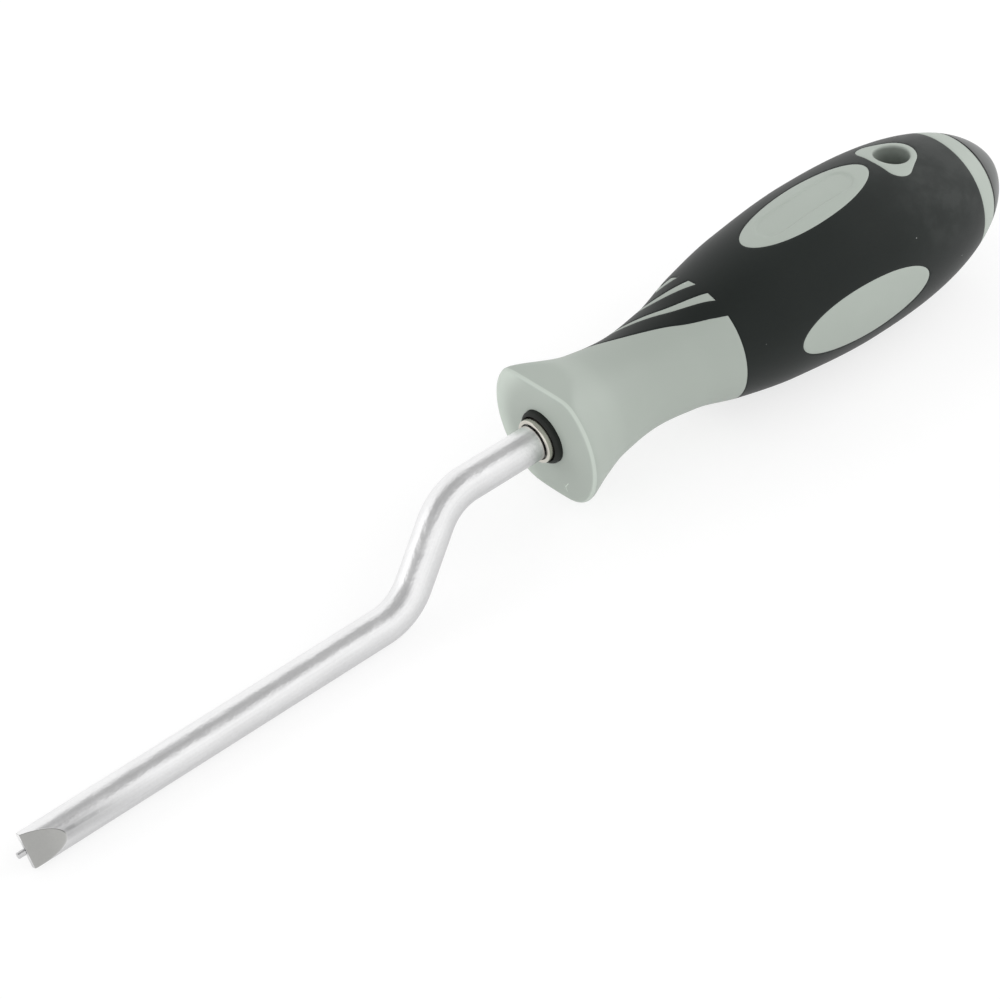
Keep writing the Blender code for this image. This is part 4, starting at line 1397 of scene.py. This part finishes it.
def floor_material(settings):
    """Pale floor that takes the object's shadow, lifted to white for the camera and for reflections."""
    material, board = new_board("pale_floor")
    clouds = board.noise(board.place(), FLOOR_CLOUDS)
    colour = board.two_toned(clouds, settings.floor_colour, FLOOR_TONES)
    rays = board.node("ShaderNodeLightPath").socket.node.outputs
    seen = sum(Wire(board, rays[name]) for name in SEEN_RAYS)
    colour = board.mix(seen, colour, shade(settings.floor_colour, settings.shadow_depth))
    matt = board.node("ShaderNodeBsdfDiffuse", None, {"Color": colour})
    strength = seen * settings.floor_lift
    lift = board.node("ShaderNodeEmission", None, {"Color": WHITE, "Strength": strength})
    both = board.node("ShaderNodeAddShader", None, {0: matt, 1: lift})
    board.node("ShaderNodeOutputMaterial", None, {"Surface": both})
    return material


# Settings that a user would change

FINE_PLACES = 5


def number_field(label, words, value, **more):
    """A number that is not negative."""
    return bpy.props.FloatProperty(name=label, description=words, default=value, min=0.0, **more)


def length_field(label, words, value):
    """A length given in millimetres."""
    return number_field(label, words, value * MM, unit="LENGTH", precision=FINE_PLACES)


def share_field(label, words, value):
    """A share from 0 to 1."""
    return number_field(label, words, value, max=1.0, subtype="FACTOR")


def vector_field(label, words, value, **more):
    """Three numbers that belong together."""
    return bpy.props.FloatVectorProperty(name=label, description=words, default=value, **more)


def colour_field(label, words, value):
    """A colour."""
    return vector_field(label, words, value, min=0.0, max=1.0, subtype="COLOR")


def place_field(label, words, value):
    """A place given in metres."""
    return vector_field(label, words, value, unit="LENGTH", subtype="XYZ", precision=FINE_PLACES)


def turn_field(label, words, degrees):
    """A rotation given in degrees."""
    turns = tuple(math.radians(turn) for turn in degrees)
    return vector_field(label, words, turns, unit="ROTATION", subtype="EULER")


class ShankSettings(bpy.types.PropertyGroup):
    """Sizes and finish of the shank and its pilot pin."""

    edge_rounding: length_field(
        "Edge rounding", "Radius at the blade's end, the shoulder and the pin", 0.12)
    steel_colour: colour_field("Steel colour", "Tone of the satin plating", (0.918, 0.918, 0.925))
    ground_colour: colour_field("Ground colour", "Tone of the blade's ground flats", (0.40, 0.40, 0.39))
    steel_roughness: share_field("Steel roughness", "Roughness of the satin plating", 0.31)
    streak_strength: share_field("Streaks", "How far the streaks along the rod differ in tone", 0.28)


class BearingSettings(bpy.types.PropertyGroup):
    """Sizes and finish of the bush, the seal and the bearing pieces inside the handle."""

    bush_edge: length_field("Bush edge", "Radius of the bush's edges", 0.3)
    seal_edge: length_field("Seal edge", "Radius of the seal's edges", 0.2)
    bush_colour: colour_field("Bush colour", "Tone of the pale bronze", (0.60, 0.58, 0.52))
    race_colour: colour_field("Steel colour", "Tone of the hidden steel pieces", (0.62, 0.62, 0.62))
    seal_colour: colour_field("Seal colour", "Tone of the dust seal", (0.013, 0.015, 0.013))


class HandleSettings(bpy.types.PropertyGroup):
    """Sizes and finish of the handle's core, cover and pad."""

    rim_rounding: length_field("Rim rounding", "Radius at the flange's front edge", 0.9)
    window_edge: length_field(
        "Window edge", "Width over which cover and core roll down to their joint", 0.18)
    window_drop: length_field("Window drop", "How far the joint lies below the surface", 0.07)
    mouth_rounding: length_field("Mouth rounding", "Radius at the hang hole's mouths", 0.55)
    seam_gap: length_field("Pad gap", "Gap between the core's rear band and the pad", 0.30)
    pad_edge: length_field("Pad edge", "Radius at the pad's front edge", 0.3)
    panel_length: length_field("Panel length", "Length of the plain panel on the top oval", 24.0)
    panel_width: length_field("Panel width", "Width of the plain panel on the top oval", 6.6)
    panel_edge: length_field("Panel edge", "Width of the panel's soft edge", 0.35)
    panel_depth: length_field("Panel depth", "How far the panel lies below the oval", 0.25)
    core_colour: colour_field("Core colour", "Grey-green of the moulded core", (0.408, 0.450, 0.408))
    core_roughness: share_field("Core roughness", "Roughness of the moulded core", 0.48)
    cover_colour: colour_field("Cover colour", "Black of the soft cover", (0.0062, 0.0090, 0.0078))
    cover_roughness: share_field("Cover roughness", "Roughness of the soft cover", 0.58)
    dust_colour: colour_field("Dust colour", "Tone of the dust on the cover", (0.30, 0.31, 0.30))
    pad_colour: colour_field("Pad colour", "Dark grey of the butt pad", (0.040, 0.046, 0.043))


class StageSettings(bpy.types.PropertyGroup):
    """The floor, the light and the camera."""

    floor_colour: colour_field("Floor colour", "Tone of the floor", (0.88, 0.88, 0.88))
    floor_lift: number_field("Floor lift", "Light added to the floor as it is seen", 0.72)
    shadow_depth: share_field(
        "Shadow depth", "Share of the floor's tone that takes the shadow as it is seen", 0.36)
    wall_light: number_field("Wall light", "Brightness of the tent's sides", 1.08)
    ceiling_light: number_field("Ceiling light", "Brightness of the dim strip along the tent's top", 0.46)
    front_light: number_field("Front light", "Light added on the blade's side", 0.50)
    softbox_power: number_field(
        "Softbox power", "Power of the softbox behind the butt", 4.0, unit="POWER")
    softbox_side: length_field("Softbox side", "Side of the square softbox", 900.0)
    softbox_place: place_field("Softbox place", "Where the softbox hangs", (1.00, -0.25, 0.57))
    floor_half: length_field("Floor half-width", "Half the floor's side", 4000.0)
    camera_place: place_field("Camera place", "Where the camera stands", (-0.242136, -0.352499, 0.382448))
    camera_turn: turn_field("Camera turn", "The way the camera faces", (48.27727, 6.03470, -39.00293))
    camera_lens: number_field("Camera lens", "Focal length in millimetres", 109.717, unit="CAMERA")


# Operators, one for each piece or group of like pieces

class BuildShank(bpy.types.Operator):
    """Build the cranked shank and its pilot pin"""

    bl_idname = "screwdriver.build_shank"
    bl_label = "Shank and pilot pin"

    def execute(self, context):
        """Make both pieces of one steel, the rod patterned as if straight and the pin as it stands."""
        settings = context.scene.screwdriver_shank
        steel = steel_material(settings)
        rod, straight = shank_patch(settings)
        pin = pin_patch(settings)
        shifted = pin[0] + np.array(PIN_SHIFT)
        new_piece("shank_rod", [rod], steel, "shank", "cranked_shank", METAL_CREASE,
                  [straight])
        new_piece("pin_nose", [pin], steel, "shank", "pilot_pin", METAL_CREASE,
                  [shifted])
        return {"FINISHED"}


class BuildBearing(bpy.types.Operator):
    """Build the bush and seal that show, and finish the bearing pieces inside the handle"""

    bl_idname = "screwdriver.build_bearing"
    bl_label = "Bearing"

    def execute(self, context):
        """Make the two pieces that show, and give the hidden CAD nodes their materials."""
        settings = context.scene.screwdriver_bearing
        bronze = bush_material(settings)
        rubber = seal_material(settings)
        bright = bright_steel_material(settings)
        handle_piece("bush_nose", [bush_patch(settings)], bronze, "front_bush")
        handle_piece("seal_ring", [seal_patch(settings)], rubber, "dust_seal")
        paint_node("rear_bush", bronze)
        for node in ("bearing_tube", "thrust_washer", "retaining_ring"):
            paint_node(node, bright)
        return {"FINISHED"}


class BuildCore(bpy.types.Operator):
    """Build the handle's moulded core"""

    bl_idname = "screwdriver.build_core"
    bl_label = "Handle core"

    def execute(self, context):
        """Make the core and its material."""
        settings = context.scene.screwdriver_handle
        patches = core_patches(settings)
        plastic = core_material(settings)
        handle_piece("core_moulding", patches, plastic, "handle_core")
        return {"FINISHED"}


class BuildCover(bpy.types.Operator):
    """Build the handle's soft cover"""

    bl_idname = "screwdriver.build_cover"
    bl_label = "Grip cover"

    def execute(self, context):
        """Make the cover and its material."""
        settings = context.scene.screwdriver_handle
        patches = cover_patches(settings)
        soft = cover_material(settings)
        handle_piece("cover_shell", patches, soft, "grip_cover")
        return {"FINISHED"}


class BuildPad(bpy.types.Operator):
    """Build the pad at the butt"""

    bl_idname = "screwdriver.build_pad"
    bl_label = "Butt pad"

    def execute(self, context):
        """Make the pad and its material."""
        settings = context.scene.screwdriver_handle
        patches = pad_patches(settings)
        rubber = pad_material(settings)
        handle_piece("pad_dome", patches, rubber, "butt_pad")
        return {"FINISHED"}


# The light tent: shares of the direction's parts between which it goes from one brightness to another
CROSSWISE = (0.0, 1.0, 1.0)
DIM_TOP = (0.75, 0.95)
DIM_ENDS = (0.58, 0.74)
FRONT_SIDE = (-0.9, -0.2)


class BuildStage(bpy.types.Operator):
    """Lay the floor, light the tent and set up the camera"""

    bl_idname = "screwdriver.build_stage"
    bl_label = "Stage"

    def execute(self, context):
        """Make each part of the stage and show colours as they are."""
        settings = context.scene.screwdriver_stage
        self.lay_floor(context, settings)
        self.light_tent(context, settings)
        self.hang_softbox(context, settings)
        self.set_camera(context, settings)
        context.scene.view_settings.view_transform = "Standard"
        return {"FINISHED"}

    def lay_floor(self, context, settings):
        """A flat square under the object."""
        half = settings.floor_half
        mesh = bpy.data.meshes.new("floor")
        corners = [(-half, -half, 0.0), (half, -half, 0.0), (half, half, 0.0), (-half, half, 0.0)]
        mesh.from_pydata(corners, [], [range(len(corners))])
        mesh.materials.append(floor_material(settings))
        floor = bpy.data.objects.new("floor", mesh)
        context.scene.collection.objects.link(floor)

    def light_tent(self, context, settings):
        """A white tent all round, brighter on the blade's side, with a dimmer strip along its top."""
        world = bpy.data.worlds.new("light tent")
        context.scene.world = world
        world.use_nodes = True
        board = Board(world.node_tree)
        facing = board.node("ShaderNodeTexCoord", output="Generated")
        backward, _, upward = board.parts(facing)
        walls = settings.wall_light + (1 - board.between(backward, *FRONT_SIDE)) * settings.front_light
        cross = board.node("ShaderNodeVectorMath", {"operation": "NORMALIZE"},
                           {0: board.stretched(facing, CROSSWISE)})
        overhead = board.between(board.parts(cross)[2], *DIM_TOP) * board.between(upward, *DIM_ENDS)
        strength = walls + overhead * (settings.ceiling_light - walls)
        light = board.node("ShaderNodeBackground", None, {"Color": WHITE, "Strength": strength})
        board.node("ShaderNodeOutputWorld", None, {"Surface": light})

    def hang_softbox(self, context, settings):
        """A broad soft lamp that faces the handle from behind its butt."""
        lamp = bpy.data.lights.new("softbox", "AREA")
        lamp.shape = "SQUARE"
        lamp.size = settings.softbox_side
        lamp.energy = settings.softbox_power
        item = bpy.data.objects.new("softbox", lamp)
        item.location = settings.softbox_place
        item.rotation_euler = Vector(settings.softbox_place).to_track_quat("Z", "Y").to_euler()
        item.visible_camera = False
        context.scene.collection.objects.link(item)

    def set_camera(self, context, settings):
        """A long lens at the photograph's viewing angle."""
        camera = bpy.data.cameras.new("camera")
        camera.lens = settings.camera_lens
        item = bpy.data.objects.new("camera", camera)
        item.location = settings.camera_place
        item.rotation_euler = settings.camera_turn
        context.scene.collection.objects.link(item)
        context.scene.camera = item


BUILDERS = (BuildShank, BuildBearing, BuildCore, BuildCover, BuildPad, BuildStage)
SETTINGS = {
    "screwdriver_shank": ShankSettings,
    "screwdriver_bearing": BearingSettings,
    "screwdriver_handle": HandleSettings,
    "screwdriver_stage": StageSettings,
}


class ScrewdriverPanel(bpy.types.Panel):
    """The screwdriver's builders and their settings"""

    bl_idname = "VIEW3D_PT_screwdriver"
    bl_label = "Screwdriver"
    bl_space_type = "VIEW_3D"
    bl_region_type = "UI"
    bl_category = "Screwdriver"

    def draw(self, context):
        """A button for each builder, then a box for each group of settings."""
        for builder in BUILDERS:
            self.layout.operator(builder.bl_idname)
        for name, group in SETTINGS.items():
            box = self.layout.box()
            for field in group.__annotations__:
                box.prop(getattr(context.scene, name), field)


def register():
    """Make the classes known and hang the settings on the scene."""
    for group in SETTINGS.values():
        bpy.utils.register_class(group)
    for builder in (*BUILDERS, ScrewdriverPanel):
        bpy.utils.register_class(builder)
    for name, group in SETTINGS.items():
        setattr(bpy.types.Scene, name, bpy.props.PointerProperty(type=group))


def unregister():
    """Undo what register does, in the other order."""
    for name in SETTINGS:
        delattr(bpy.types.Scene, name)
    for builder in (ScrewdriverPanel, *reversed(BUILDERS)):
        bpy.utils.unregister_class(builder)
    for group in SETTINGS.values():
        bpy.utils.unregister_class(group)


def main():
    """Register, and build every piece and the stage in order."""
    register()
    bpy.ops.screwdriver.build_shank()
    bpy.ops.screwdriver.build_bearing()
    bpy.ops.screwdriver.build_core()
    bpy.ops.screwdriver.build_cover()
    bpy.ops.screwdriver.build_pad()
    bpy.ops.screwdriver.build_stage()


if __name__ == "__main__":
    main()
